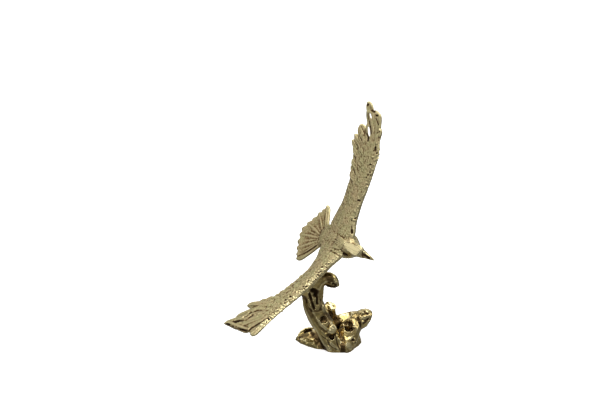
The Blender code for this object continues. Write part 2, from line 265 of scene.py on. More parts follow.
# %% [markdown]
# ## Three ways to raise a rough form
# A body or a wing is a disc that is extruded from section to section and scaled at each stop. A limb of the
# stump, a ridge of bark or a strand of feather is a curve with a round bevel, thick where the wood is thick.
# A feather is one flat blade, modelled once and copied to its place. Remeshing melts them together later,
# so they may simply overlap here.

# %% A disc extruded along sections
SECTION_STEPS = 4
DISC_SIDES = 32
THINNEST = 0.1


def refine(stations):
    """Catmull-Rom points between stations, so that no kink shows where two sections meet."""
    rows = [Vector(s) for s in stations]
    rows = [rows[0] * 2 - rows[1]] + rows + [rows[-1] * 2 - rows[-2]]
    points = []
    for a, b, c, d in zip(rows, rows[1:], rows[2:], rows[3:]):
        for i in range(SECTION_STEPS):
            t = i / SECTION_STEPS
            points.append(0.5 * (2 * b + (c - a) * t + (2 * a - 5 * b + 4 * c - d) * t ** 2
                                 + (3 * b - a - 3 * c + d) * t ** 3))
    return points + [rows[-2]]


def filled_disc(name, corners=DISC_SIDES, turn=(0, 0, 0)):
    disc = add(bpy.ops.mesh.primitive_circle_add, name, vertices=corners, radius=1, fill_type="NGON",
               rotation=turn)
    bpy.ops.object.transform_apply(location=False, rotation=True, scale=False)
    return disc


def extrude_along(disc, sections):
    """Extrudes the active disc to each section: its place and its three scales against the first one."""
    edit_all()
    for (here, was), (there, now) in zip(sections, sections[1:]):
        bpy.ops.mesh.extrude_region_move(TRANSFORM_OT_translate={"value": there - here})
        bpy.ops.transform.resize(value=[b / a for a, b in zip(was, now)], center_override=there)
    face_outwards()
    return disc


def loft(disc, sections):
    """Brings a disc of radius 1 to the first section and extrudes it to the others."""
    start, size = sections[0]
    move_mesh(disc, start, size=size)
    return extrude_along(disc, sections)


def swelling_body(name, stations):
    """A body along X: along, sideways, height, half width and half height at each station."""
    sections = []
    for along, sideways, height, wide, high in refine(stations):
        centre = Vector((along * LENGTH_UNIT, sideways * SPAN_UNIT, height * SPAN_UNIT))
        sections.append((centre, (1, max(wide, THINNEST) * SPAN_UNIT, max(high, THINNEST) * SPAN_UNIT)))
    return loft(filled_disc(name, turn=(0, math.pi / 2, 0)), sections)


# %% A round limb along a curve
LIMB_SIDES = 6
END_SHARE = 0.6


def limb(name, stations):
    """A tube through stations of x, y, z and half thickness, in metres, with closed ends."""
    path = bpy.data.curves.new(name, "CURVE")
    path.dimensions = "3D"
    path.bevel_depth = 1
    path.bevel_resolution = LIMB_SIDES
    path.resolution_u = LIMB_SIDES
    path.use_fill_caps = True
    spline = path.splines.new("BEZIER")
    spline.radius_interpolation = "CARDINAL"
    spline.bezier_points.add(len(stations) - 1)
    for point, (*place, half) in zip(spline.bezier_points, stations):
        point.co = place
        point.radius = half
        point.handle_left_type = point.handle_right_type = "AUTO"
    activate(link_new(name, path))
    bpy.ops.object.convert(target="MESH")
    return bpy.context.object


def taper(path, half):
    """Stations along a ridge or a groove, thinner at both ends."""
    last = len(path) - 1
    return [(*point, half * (END_SHARE + (1 - END_SHARE) * math.sin(math.pi * i / last)))
            for i, point in enumerate(path)]


# %% One feather, copied to its place
TIP_ROUNDING = 0.22
EDGE_DROP = 0.3
ROOT_WIDTH = 0.75
WIDEST_AT = 0.6
LEAST_TIP = 0.3
SHAFT_SHARE = 3
VANE_RIBS = 3
FLIGHT_SHAPE = ((14, 12), 0.16, 0.03)  # cuts along and across, how far the shaft and the ribs stand up
COVERT_SHAPE = ((6, 6), 0.20, 0)


def blade_width(share):
    """Width along a feather, as a share of its widest: it swells slowly and ends in a round tip."""
    swell = ROOT_WIDTH + (1 - ROOT_WIDTH) * min(share / WIDEST_AT, 1)
    beyond = (share - 1 + TIP_ROUNDING) / TIP_ROUNDING
    tip = math.sqrt(max(1 - beyond ** 2, 0)) if beyond > 0 else 1
    return swell * max(tip, LEAST_TIP)


def feather_template(name, cuts, shaft, vanes):
    """A feather of length, width and thickness 1, its root at 0 and its back at height 0, with a shaft."""
    feather = add(bpy.ops.mesh.primitive_grid_add, name, x_subdivisions=cuts[0], y_subdivisions=cuts[1],
                  size=1)
    edit_all()
    bpy.ops.mesh.extrude_region_move(TRANSFORM_OT_translate={"value": (0, 0, -1)})
    face_outwards()
    for vertex in feather.data.vertices:
        x, y, z = vertex.co
        share = x + 0.5
        edge = abs(y) * 2
        vertex.co = (share, y * blade_width(share), z)
        if z > -0.5:
            ribs = vanes * math.cos(edge * VANE_RIBS * math.pi)
            vertex.co.z += shaft * max(1 - edge * SHAFT_SHARE, 0) - EDGE_DROP * edge ** 2 + ribs
    return feather


def lay_feather(template, root, tip, width, thickness, up=Vector((0, 0, 1))):
    """A copy of the template from root to tip, its back towards up."""
    spine = tip - root
    across = up.cross(spine).normalized()
    lift = spine.cross(across).normalized()
    copy = link_new(template.name, template.data.copy())
    move_mesh(copy, root, axes(spine, across * width, lift * thickness))
    return copy


flight_feather = feather_template("flight feather", *FLIGHT_SHAPE)
covert_feather = feather_template("covert", *COVERT_SHAPE)
print("a flight feather has", len(flight_feather.data.polygons), "faces, a covert",
      len(covert_feather.data.polygons))

# %% [markdown]
# ## The falcon's rough form
# The bird is a spindle body with a hooked beak, two long wings that rise in a shallow V, and a fanned tail.
# Its body and wings are lofts. Every flight feather is laid side by side along the trailing edge, and the
# long feathers of the hand stand apart at their tips, as a falcon's do in a turn.

# %% Body and beak
BODY_SECTIONS = (  # along, sideways, height, half width, half height
    (-31, -1.8, -2.4, 6.6, 1.4),
    (-24, -1.2, -2.6, 10.6, 2.8),
    (-12, 0.0, -3.6, 11.0, 5.6),
    (5, 0.0, -4.4, 10.2, 7.4),
    (14, -0.2, -3.8, 7.9, 7.0),
    (20, 0.0, -2.8, 5.4, 5.7),
    (25, 0.3, -1.7, 4.2, 4.7),
    (30, 0.6, -1.3, 3.5, 4.2),
    (34, 1.0, -1.8, 3.0, 3.5),
    (37, 1.1, -2.5, 2.0, 2.4),
)
BEAK_SECTIONS = (
    (34, 1.0, -2.3, 2.5, 2.5),
    (38, 1.1, -2.6, 2.0, 2.3),
    (41.5, 1.2, -3.1, 1.5, 1.9),
    (43.2, 1.2, -4, 1, 1.5),
    (44.4, 1.2, -5, 0.6, 1),
    (44.8, 1.2, -5.8, 0.3, 0.5),
)
bird = [swelling_body("body", BODY_SECTIONS), swelling_body("beak", BEAK_SECTIONS)]

# %% Wings
LEFT_WING = {
    "side": 1,
    "rise": 26,
    "smooth to": 44,
    "leading": ((0, 13), (10, 9.8), (20, 5.7), (32, 4.2), (46, 4.6), (60, 4.4), (72, 3), (84, -1.6)),
    "trailing": ((0, -19), (12, -19.6), (27, -17.3), (43, -18.4), (53, -21), (62, -22.6), (68, -25.5),
                 (73, -30.8), (77, -27.6), (84, -21)),
    "fingers": (  # root out, root along, tip out, tip along, width
        (67, -9, 84.5, -26.2, 8.6),
        (80, -12, 95.2, -24.4, 2.8),
        (84, -9, 102, -25.8, 6.4),
        (74, -4.5, 98, -16.8, 11.6),
        (75, -3.2, 97.4, -11.2, 7.2),
        (73, -2.6, 87.8, -4.4, 5),
    ),
}
RIGHT_WING = {
    "side": -1,
    "rise": 31,
    "smooth to": 62,
    "leading": ((0, 13), (10, 10.4), (20, 7.9), (36, 6.8), (52, 5), (66, 2.6), (76, 1.8), (84, 1.4)),
    "trailing": ((0, -19), (12, -15), (20, -11), (30, -9.2), (46, -11.4), (56, -13.6), (64, -16.6),
                 (72, -22.4), (77, -26), (84, -25)),
    "fingers": (
        (64, -8, 78.6, -28.8, 6),
        (70, -13, 92, -27.6, 8),
        (74, -9, 100, -32, 6.2),
        (75, -6, 99.8, -27, 8.4),
        (75, -4, 98, -20.6, 9.4),
        (75, -3, 95.4, -14.4, 9.4),
        (74, -2, 93, -9, 8),
        (73, -2.2, 94, -2.8, 7),
    ),
}
WING_THICKNESS = ((0, 7.6), (14, 7.6), (30, 6.4), (50, 5.2), (66, 4.2), (76, 3.2), (84, 2.2))
TRAILING_EDGE = 0.28
THINNING_POWER = 0.7
RISE_POWER = 1.3
WING_DROP = 1
MEMBRANE_SHARE = 0.90
SMOOTH_FADE = 10
WING_END = 84
WING_STEPS = 28


def wing_middle(wing, out):
    """Height of the wing's middle at this distance out, for the shallow V of the two wings."""
    return wing["rise"] * (out / 100) ** RISE_POWER - WING_DROP


def wing_point(wing, out, along, tuck=0):
    return Vector((along, wing["side"] * out, wing_middle(wing, out) - tuck)) * SPAN_UNIT


def feathered(wing, out):
    """0 near the body, where the trailing edge is worn smooth, and 1 where its feathers show."""
    return min(max((out - wing["smooth to"]) / SMOOTH_FADE, 0), 1)


def wing_section(wing, out):
    """Where the thin rear edge of this section stands, and its three scales."""
    leading = read_curve(wing["leading"], out)
    share = 1 - (1 - MEMBRANE_SHARE) * feathered(wing, out)
    rear = leading + (read_curve(wing["trailing"], out) - leading) * share
    thickness = read_curve(WING_THICKNESS, out)
    return wing_point(wing, out, rear), ((leading - rear) * SPAN_UNIT, 1, thickness / 2 * SPAN_UNIT)


def add_wing(name, wing):
    """A rounded leading edge and a thin trailing edge, extruded from the shoulder to the hand."""
    disc = filled_disc(name, turn=(math.pi / 2, 0, 0))
    for vertex in disc.data.vertices:
        share = (1 + vertex.co.x) / 2
        vertex.co.x = share
        vertex.co.z *= TRAILING_EDGE + (1 - TRAILING_EDGE) * share ** THINNING_POWER
    return loft(disc, [wing_section(wing, WING_END * i / WING_STEPS) for i in range(WING_STEPS + 1)])


bird += [add_wing("left wing", LEFT_WING), add_wing("right wing", RIGHT_WING)]
print("the body, the beak and the wings have", sum(len(form.data.polygons) for form in bird), "faces")

# %% Flight feathers and the fingers of the hand
FLIGHT_FEATHERS = 15
FLIGHT_FROM, FLIGHT_TO = 14, 76
FLIGHT_WIDTH = 6.6
FLIGHT_ROOT = -2
FLIGHT_SLANT = 1.5
FLIGHT_LEAN = 10
FLIGHT_OVERHANG = 0.6
FLIGHT_HELD_BACK = 2
FEATHER_TUCK = 0.5
BLADE_THICKNESS = 0.0020


def lay_blade(root, tip, width):
    """A flight feather whose middle lies on the line from root to tip."""
    rise = Vector((0, 0, BLADE_THICKNESS / 2))
    return lay_feather(flight_feather, root + rise, tip + rise, width * SPAN_UNIT, BLADE_THICKNESS)


def flight_row(wing):
    row = []
    for i in range(FLIGHT_FEATHERS):
        share = i / (FLIGHT_FEATHERS - 1)
        tip_out = FLIGHT_FROM + (FLIGHT_TO - FLIGHT_FROM) * share
        root_out = tip_out - FLIGHT_SLANT - FLIGHT_LEAN * share ** 2
        held_back = FLIGHT_HELD_BACK * (1 - feathered(wing, tip_out))
        tip_along = read_curve(wing["trailing"], tip_out) - FLIGHT_OVERHANG + held_back
        row.append((root_out, FLIGHT_ROOT, tip_out, tip_along, FLIGHT_WIDTH))
    return row


def lay_row(wing, row):
    """Feathers side by side, every second one tucked a little lower."""
    laid = []
    for i, (root_out, root_along, tip_out, tip_along, width) in enumerate(row):
        tip = wing_point(wing, tip_out, tip_along, FEATHER_TUCK * (i % 2))
        laid.append(lay_blade(wing_point(wing, root_out, root_along), tip, width))
    return laid


for wing in (LEFT_WING, RIGHT_WING):
    bird += lay_row(wing, flight_row(wing)) + lay_row(wing, wing["fingers"])
print("with its flight feathers the falcon has", len(bird), "forms")

# %% The tail
TAIL_ROOT = Vector((-18.5, -4.8, -2.6))
TAIL_FEATHERS = (  # turn from straight back in degrees, reach, width
    (-52.6, 29.6, 5.8), (-44, 27.6, 7.4), (-35, 26.6, 7.4), (-20, 26.4, 8.6), (-8, 27.4, 8.6), (4, 29.8, 8.6),
    (14, 29.2, 8.2), (26, 29.4, 8.6), (38, 28.8, 8.6), (48, 29.8, 8.6), (56, 30.2, 7.6),
)
TAIL_DROP = 0.8
WEB_REACH = 0.94
WEB_TOP, WEB_BOTTOM = 0.0003, -0.0009


def fan_out(turn_deg, reach=1):
    """The way from the tail's root along a feather."""
    turn = math.radians(180 + turn_deg)
    return Vector((math.cos(turn) * reach, math.sin(turn) * reach, 0))


def tail_web():
    """A thin web between the tail feathers, so that the gaps between them stay shallow."""
    web = filled_disc("tail web", len(TAIL_FEATHERS) + 1)
    rim = [TAIL_ROOT + fan_out(turn_deg) * reach * WEB_REACH for turn_deg, reach, _ in TAIL_FEATHERS]
    for vertex, spot in zip(web.data.vertices, [TAIL_ROOT] + rim):
        vertex.co = spot * SPAN_UNIT + Vector((0, 0, WEB_BOTTOM))
    return extrude_along(web, [(Vector((0, 0, z)), (1, 1, 1)) for z in (WEB_BOTTOM, WEB_TOP)])


for i, (turn_deg, reach, width) in enumerate(TAIL_FEATHERS):
    tip = TAIL_ROOT + fan_out(turn_deg, reach) - Vector((0, 0, TAIL_DROP + FEATHER_TUCK * (i % 2)))
    bird.append(lay_blade(TAIL_ROOT * SPAN_UNIT, tip * SPAN_UNIT, width))
bird.append(tail_web())
print("and with its tail", len(bird))

# %% The feather that closes the left hand, and the thick end of the right one
CLOSING_FEATHER = (74, -10, 88, -19, 4.8)
END_LINE = ((98.6, -31.4), (97.2, -25), (96, -19), (94.8, -13), (93.6, -7))  # out, along
END_HALF = 1.6
bird += lay_row(LEFT_WING, (CLOSING_FEATHER,))
bird.append(limb("hand end", [(*wing_point(RIGHT_WING, out - END_HALF, along), END_HALF * SPAN_UNIT)
                              for out, along in END_LINE]))
print("rough falcon:", len(bird), "forms")

# %% [markdown]
# ## Small feathers
# The wings and the back are covered with small feathers that overlap like shingles towards the rear. Each
# is laid on the rough form by dropping a plumb line: where it meets the surface, the feather's root is
# sunk a little and its tip stands proud. Sizes and headings vary a little, because the wax was tooled by
# hand. The hidden underside gets fewer and larger ones.

# %% A plumb line to the rough form
FRINGE = 0.1
ROOT_SUNK = 0.3
MOST_STRETCH = 1.8


def surface_of(pieces):
    """A search tree over the joined faces of several pieces."""
    points, faces = [], []
    for piece in pieces:
        start = len(points)
        points += [v.co.copy() for v in piece.data.vertices]
        faces += [[start + i for i in polygon.vertices] for polygon in piece.data.polygons]
    return BVHTree.FromPolygons(points, faces)


def plumb(x, y, side=1):
    """Where the rough form is met from above, or from below where side is -1; None beside it."""
    return rough.ray_cast(Vector((x, y, side * FRINGE)), Vector((0, 0, -side)))[0]


def lay_small_feather(x, y, heading, size, side=1):
    """A covert over x, y, or None beside the form. Size: length, width, thickness, how proud it stands."""
    x, y, length, width, thickness, proud = (value * SPAN_UNIT for value in (x, y, *size))
    ahead = Vector((math.cos(heading), math.sin(heading), 0)) * length / 2
    spots = [Vector((x, y, 0)) + ahead * step for step in (-1, 1)]
    root, tip = (plumb(spot.x, spot.y, side) for spot in spots)
    if root is None or tip is None:
        return None
    up = Vector((0, 0, side))
    root -= up * thickness * ROOT_SUNK
    tip += up * proud
    if (tip - root).length > MOST_STRETCH * length:
        return None
    return lay_feather(covert_feather, root, tip, width, thickness, up)


# %% Rows of coverts
SEED = 7
COVERT_ROWS = (  # share of the chord behind the leading edge, length, width, thickness, proud
    (0.70, 7.5, 3.8, 0.9, 0.16),
    (0.55, 5.6, 3.4, 0.9, 0.22),
    (0.43, 4.6, 3.0, 0.8, 0.24),
    (0.32, 4.0, 2.8, 0.8, 0.24),
    (0.22, 3.6, 2.6, 0.8, 0.22),
    (0.13, 3.2, 2.6, 0.7, 0.20),
    (0.04, 3.0, 2.6, 0.7, 0.16),
)
COVERT_FROM, COVERT_TO, COVERT_SPACING = 5, 78, 0.72
HAND_LEAN_DEG = 46
LEAN_POWER = 1.5
SIZE_PLAY = 0.38
HEADING_PLAY_DEG = 24
PLACE_PLAY = 0.9
MISSING_SHARE = 0.22
BACK_FROM, BACK_TO = -24, 12
BACK_HALF_WIDTH = 10
BACK_SCALE = (3.6, 2.8, 0.8, 0.24)
BACK_SPACING = (0.6, 0.8)
UNDER_SHARES = (0.62, 0.36, 0.12)
UNDER_FROM, UNDER_TO, UNDER_STEP = 12, 74, 5.2
UNDER_FEATHER = (9, 6, 1.1, 0.3)


def vary(play, amount):
    return play.uniform(-1, 1) * amount


def vary_size(play, size):
    length, width, *heights = size
    share = 1 + vary(play, SIZE_PLAY)
    return (length * share, width * share, *heights)


def place_on_wing(wing, out, share):
    """How far along the bird this share of the chord is, and how far a feather there leans outwards."""
    leading = read_curve(wing["leading"], out)
    chord = leading - read_curve(wing["trailing"], out)
    return leading - share * chord, math.radians(HAND_LEAN_DEG) * (out / COVERT_TO) ** LEAN_POWER


def covert_rows(wing, play):
    laid = []
    for r, (share, *usual) in enumerate(COVERT_ROWS):
        width = usual[1]
        out = COVERT_FROM + (r % 2) * width / 2
        while out < COVERT_TO:
            along, lean = place_on_wing(wing, out, share)
            lean += math.radians(vary(play, HEADING_PLAY_DEG))
            size = vary_size(play, usual)
            along += vary(play, PLACE_PLAY)
            sideways = wing["side"] * (out + vary(play, PLACE_PLAY))
            if play.random() > MISSING_SHARE:
                laid.append(lay_small_feather(along, sideways, math.pi - wing["side"] * lean, size))
            out += width * COVERT_SPACING
    return laid


def back_scales(play):
    """Rows across the back, from the rump to the shoulders."""
    laid = []
    length, width = BACK_SCALE[:2]
    x = BACK_FROM
    row = 0
    while x < BACK_TO:
        y = -BACK_HALF_WIDTH + (row % 2) * width / 2
        while y < BACK_HALF_WIDTH:
            heading = math.pi + math.radians(vary(play, HEADING_PLAY_DEG) - y)
            laid.append(lay_small_feather(x, y, heading, vary_size(play, BACK_SCALE)))
            y += width * BACK_SPACING[1]
        x += length * BACK_SPACING[0]
        row += 1
    return laid


def under_feathers(wing):
    """Plain broad feathers on the underside, which the photograph doesn't show."""
    laid = []
    for share in UNDER_SHARES:
        out = UNDER_FROM
        while out < UNDER_TO:
            along, lean = place_on_wing(wing, out, share)
            heading = math.pi - wing["side"] * lean
            laid.append(lay_small_feather(along, wing["side"] * out, heading, UNDER_FEATHER, side=-1))
            out += UNDER_STEP
    return laid


play = random.Random(SEED)
rough = surface_of(bird)
small = back_scales(play)
for wing in (LEFT_WING, RIGHT_WING):
    small += covert_rows(wing, play) + under_feathers(wing)
small = [feather for feather in small if feather]
bird += small
print("small feathers:", len(small))

# %% [markdown]
# ## Head, nape and the pad under the wing
# The head is plain polished metal, so its planes matter more than any texture: a ridge along the crown,
# a brow over a flat cheek on either side, and the gape of the hooked beak. A ruff of combed strands
# covers the nape. The pad under the right wing is the foundry's seat for the braze.

# %% Ridges of the head and the ruff
HEAD_RIDGES = (  # points of along, sideways, up, then half thickness
    ((10, 1.6, 2.4), (15, 1.9, 2.9), (21, 2.2, 2.4), (26, 2.0, 1.6), 1.5),
    ((15, -2.6, 1.6), (20, -2.4, 1.9), (25, -1.4, 1.7), (28, -0.2, 1.0), 1.2),
    ((12, 4.4, 0.2), (18, 4.3, 0.0), (24, 3.9, -0.4), (28, 3.0, -0.6), 1.2),
)
RUFF_STRANDS = 8
RUFF_FROM, RUFF_TO = -5, 2
RUFF_START = 8
RUFF_LENGTH = 10
RUFF_HALF = 0.6
RUFF_POINTS = 4
RUFF_CURL = 0.05
RUFF_SPREAD = 0.12


def ruff_strand(i):
    """One combed strand from the neck back over the shoulders, lying on the back."""
    y = RUFF_FROM + (RUFF_TO - RUFF_FROM) * i / (RUFF_STRANDS - 1)
    path = []
    for step in range(RUFF_POINTS):
        x = RUFF_START - RUFF_LENGTH * step / (RUFF_POINTS - 1) - RUFF_CURL * y * y
        spot = Vector((x, y * (1 + RUFF_SPREAD * step), 0)) * SPAN_UNIT
        path.append(plumb(spot.x, spot.y) + Vector((0, 0, RUFF_HALF * SPAN_UNIT / 3)))
    return limb("ruff strand", taper(path, RUFF_HALF * SPAN_UNIT))


for *path, half in HEAD_RIDGES:
    bird.append(limb("head ridge", taper([span_point(*point) for point in path], half * SPAN_UNIT)))
bird += [ruff_strand(i) for i in range(RUFF_STRANDS)]
print(len(HEAD_RIDGES), "ridges and", RUFF_STRANDS, "strands")

# %% The pad for the braze
SEAT_LENGTH = 0.028
SEAT_WIDTH = 0.011
PAD_HEIGHT = 0.0040
PAD_BELOW = -0.0004
SEAT_OUT = 37.5
SEAT_ALONG = -1
SEAT_DEPTH = 3.6
SEAT_LEAN = Matrix.Rotation(math.radians(-15), 3, "X")
seat_middle = Vector((SEAT_ALONG, -SEAT_OUT, wing_middle(RIGHT_WING, SEAT_OUT) - SEAT_DEPTH)) * SPAN_UNIT
seat_turn = axes(SEAT_LEAN @ Vector((0, 1, 0)), Vector((1, 0, 0)), SEAT_LEAN @ Vector((0, 0, 1)))
pad = add(bpy.ops.mesh.primitive_cylinder_add, "pad", vertices=DISC_SIDES, radius=0.5, depth=1)
pad_size = Matrix.Diagonal((SEAT_LENGTH, SEAT_WIDTH, PAD_HEIGHT - PAD_BELOW, 1))
pad_rise = Matrix.Translation((0, 0, (PAD_BELOW + PAD_HEIGHT) / 2))
pad.data.transform(Matrix.Translation(seat_middle) @ seat_turn.to_4x4() @ pad_rise @ pad_size)
bird.append(pad)
print("the pad's middle is at", [round(1000 * v, 1) for v in seat_middle], "mm")

# %% [markdown]
# ## Melting the forms into one skin
# Voxel remeshing walks a fine lattice through the overlapping forms and keeps only the outside, which is
# how wax behaves when it is warmed. A finer lattice keeps small feathers, but it makes far more faces than
# flat areas need, so a Decimate follows that spends them where the surface bends.

# %% Melt, then thin out
SKIN_GRAIN = 0.00034
SKIN_TRIANGLES = 190000
SOFTENING = 0.5
SOFTENING_ROUNDS = 2


def melt(thing, grain=SKIN_GRAIN, rounds=SOFTENING_ROUNDS):
    finish_modifier(thing, "REMESH", mode="VOXEL", voxel_size=grain)
    finish_modifier(thing, "SMOOTH", factor=SOFTENING, iterations=rounds)
    return thing


def thin_out(thing):
    """Thins the skin to its number of triangles and shades it smooth."""
    count = sum(len(polygon.vertices) - 2 for polygon in thing.data.polygons)
    if count > SKIN_TRIANGLES:
        finish_modifier(thing, "DECIMATE", ratio=SKIN_TRIANGLES / count)
    activate(thing)
    bpy.ops.object.shade_smooth()
    print(thing.name, "had", count, "triangles and keeps", min(count, SKIN_TRIANGLES))


def cut_away(thing, tool):
    finish_modifier(thing, "BOOLEAN", operation="DIFFERENCE", object=tool, solver="MANIFOLD")
    bpy.data.objects.remove(tool)


falcon = melt(join(bird, "falcon_casting"))
for template in (flight_feather, covert_feather):
    bpy.data.objects.remove(template)

# %% Slits between the left fingers
SLITS = (  # out and along of both ends, width in mm
    ((85.6, -17.4), (79.5, -12.8), 1.5),
    ((94.9, -20.3), (91.8, -17.1), 1.0),
)
SAW_SLANT = Vector((0.74, 0, 0.67))
SAW_REACH = 0.012


def saw_slit(thing, wing, upper, lower, width):
    """A narrow pointed slit through the hand, sawn at a slant."""
    start, end = wing_point(wing, *upper), wing_point(wing, *lower)
    run = end - start
    across = SAW_SLANT.cross(run).normalized()
    saw = add(bpy.ops.mesh.primitive_cylinder_add, "saw", vertices=DISC_SIDES, radius=0.5, depth=1)
    move_mesh(saw, (start + end) / 2, axes(run, across * width / 1000, SAW_SLANT * SAW_REACH))
    cut_away(thing, saw)


for slit in SLITS:
    saw_slit(falcon, LEFT_WING, *slit)

# %% [markdown]
# ## Tooling marks
# Casting and handling leave marks that no feather template has: pits along the leading edges, blunt dark
# ends on the fingers, the hollow behind the jaw. A stroke follows a path over the skin. It grooves and stains
# the metal, or it raises and polishes it. Some dark strokes are painted shade, such as the gape, the slit in
# the left hand and the gaps between the right fingers, and the polished strokes are painted highlights too.
# The skin's points are handled as one array, because there are hundreds of thousands of them.

# %% Strokes and facets
COLOUR_REACH = 1.6


class Skin:
    """The points and normals of a casting, with how far each point is darkened by dirt and painted shade, and
    how far it is lightened by polish and painted highlight.
    """

    def __init__(self, thing):
        self.thing = thing
        self.points = self.read(thing.data.vertices, "co")
        self.normals = self.read(thing.data.vertex_normals, "vector")
        self.dirt_and_shade = np.zeros(len(self.points))
        self.polish_and_highlight = np.zeros(len(self.points))

    def read(self, items, name):
        values = np.empty(len(items) * 3, np.float32)
        items.foreach_get(name, values)
        return values.reshape(-1, 3).astype(float)

    def stroke(self, path, radius, depth, dirt_and_shade=0, polish_and_highlight=0):
        """Draws a tool along a path, or presses it once: a groove, or a ridge where the depth is negative."""
        away = np.full(len(self.points), np.inf)
        path = [np.array(point) for point in path]
        for here, there in zip(path, path[1:] or path):
            run = there - here
            share = np.clip((self.points - here) @ run / max(run @ run, 1e-12), 0, 1)
            away = np.minimum(away, np.linalg.norm(self.points - here - share[:, None] * run, axis=1))
        share = np.clip(1 - (away / radius) ** 2, 0, 1) ** 2
        self.points -= self.normals * (share * depth)[:, None]
        colour = np.clip(share * COLOUR_REACH, 0, 1)
        self.dirt_and_shade = np.maximum(self.dirt_and_shade * (1 - colour * polish_and_highlight), colour * dirt_and_shade)
        self.polish_and_highlight = np.maximum(self.polish_and_highlight, colour * polish_and_highlight)

    def draw(self, table, place, unit, bright_marks=False):
        """Draws a table of grooves that darken with dirt and painted shade, or of ridges that are polished
        and lightened with painted highlights. Place and unit make metres.
        """
        for radius, depth, strength, *path in table:
            path = [place(*point) for point in path]
            if bright_marks:
                self.stroke(path, radius * unit, -depth / 1000, polish_and_highlight=strength)
            else:
                self.stroke(path, radius * unit, depth / 1000, dirt_and_shade=strength)

    def flatten(self, centre, facing, radius):
        """Files the skin flat: what stands beyond the plane is brought back to it."""
        centre = np.array(centre)
        facing = np.array(Vector(facing).normalized())
        beyond = (self.points - centre) @ facing
        near = np.linalg.norm(self.points - centre, axis=1) < radius
        self.points -= np.where(near & (beyond > 0), beyond, 0)[:, None] * facing

    def write(self):
        """Moves the casting's points, and keeps the darkening of dirt and painted shade and the lightening of
        polish and painted highlight through the steps that follow.
        """
        mesh = self.thing.data
        mesh.vertices.foreach_set("co", self.points.astype(np.float32).ravel())
        mesh.update()
        keep_number(self.thing, "dark_marks", self.dirt_and_shade)
        keep_number(self.thing, "bright_marks", self.polish_and_highlight)


def keep_number(thing, name, values):
    attribute = thing.data.attributes.new(name, "FLOAT", "POINT")
    attribute.data.foreach_set("value", np.asarray(values, np.float32))


def take_number(thing, name):
    """Reads a number back and removes it."""
    attribute = thing.data.attributes[name]
    values = np.empty(len(thing.data.vertices), np.float32)
    attribute.data.foreach_get("value", values)
    thing.data.attributes.remove(attribute)
    return values


skin = Skin(falcon)
print("falcon skin:", len(skin.points), "points")
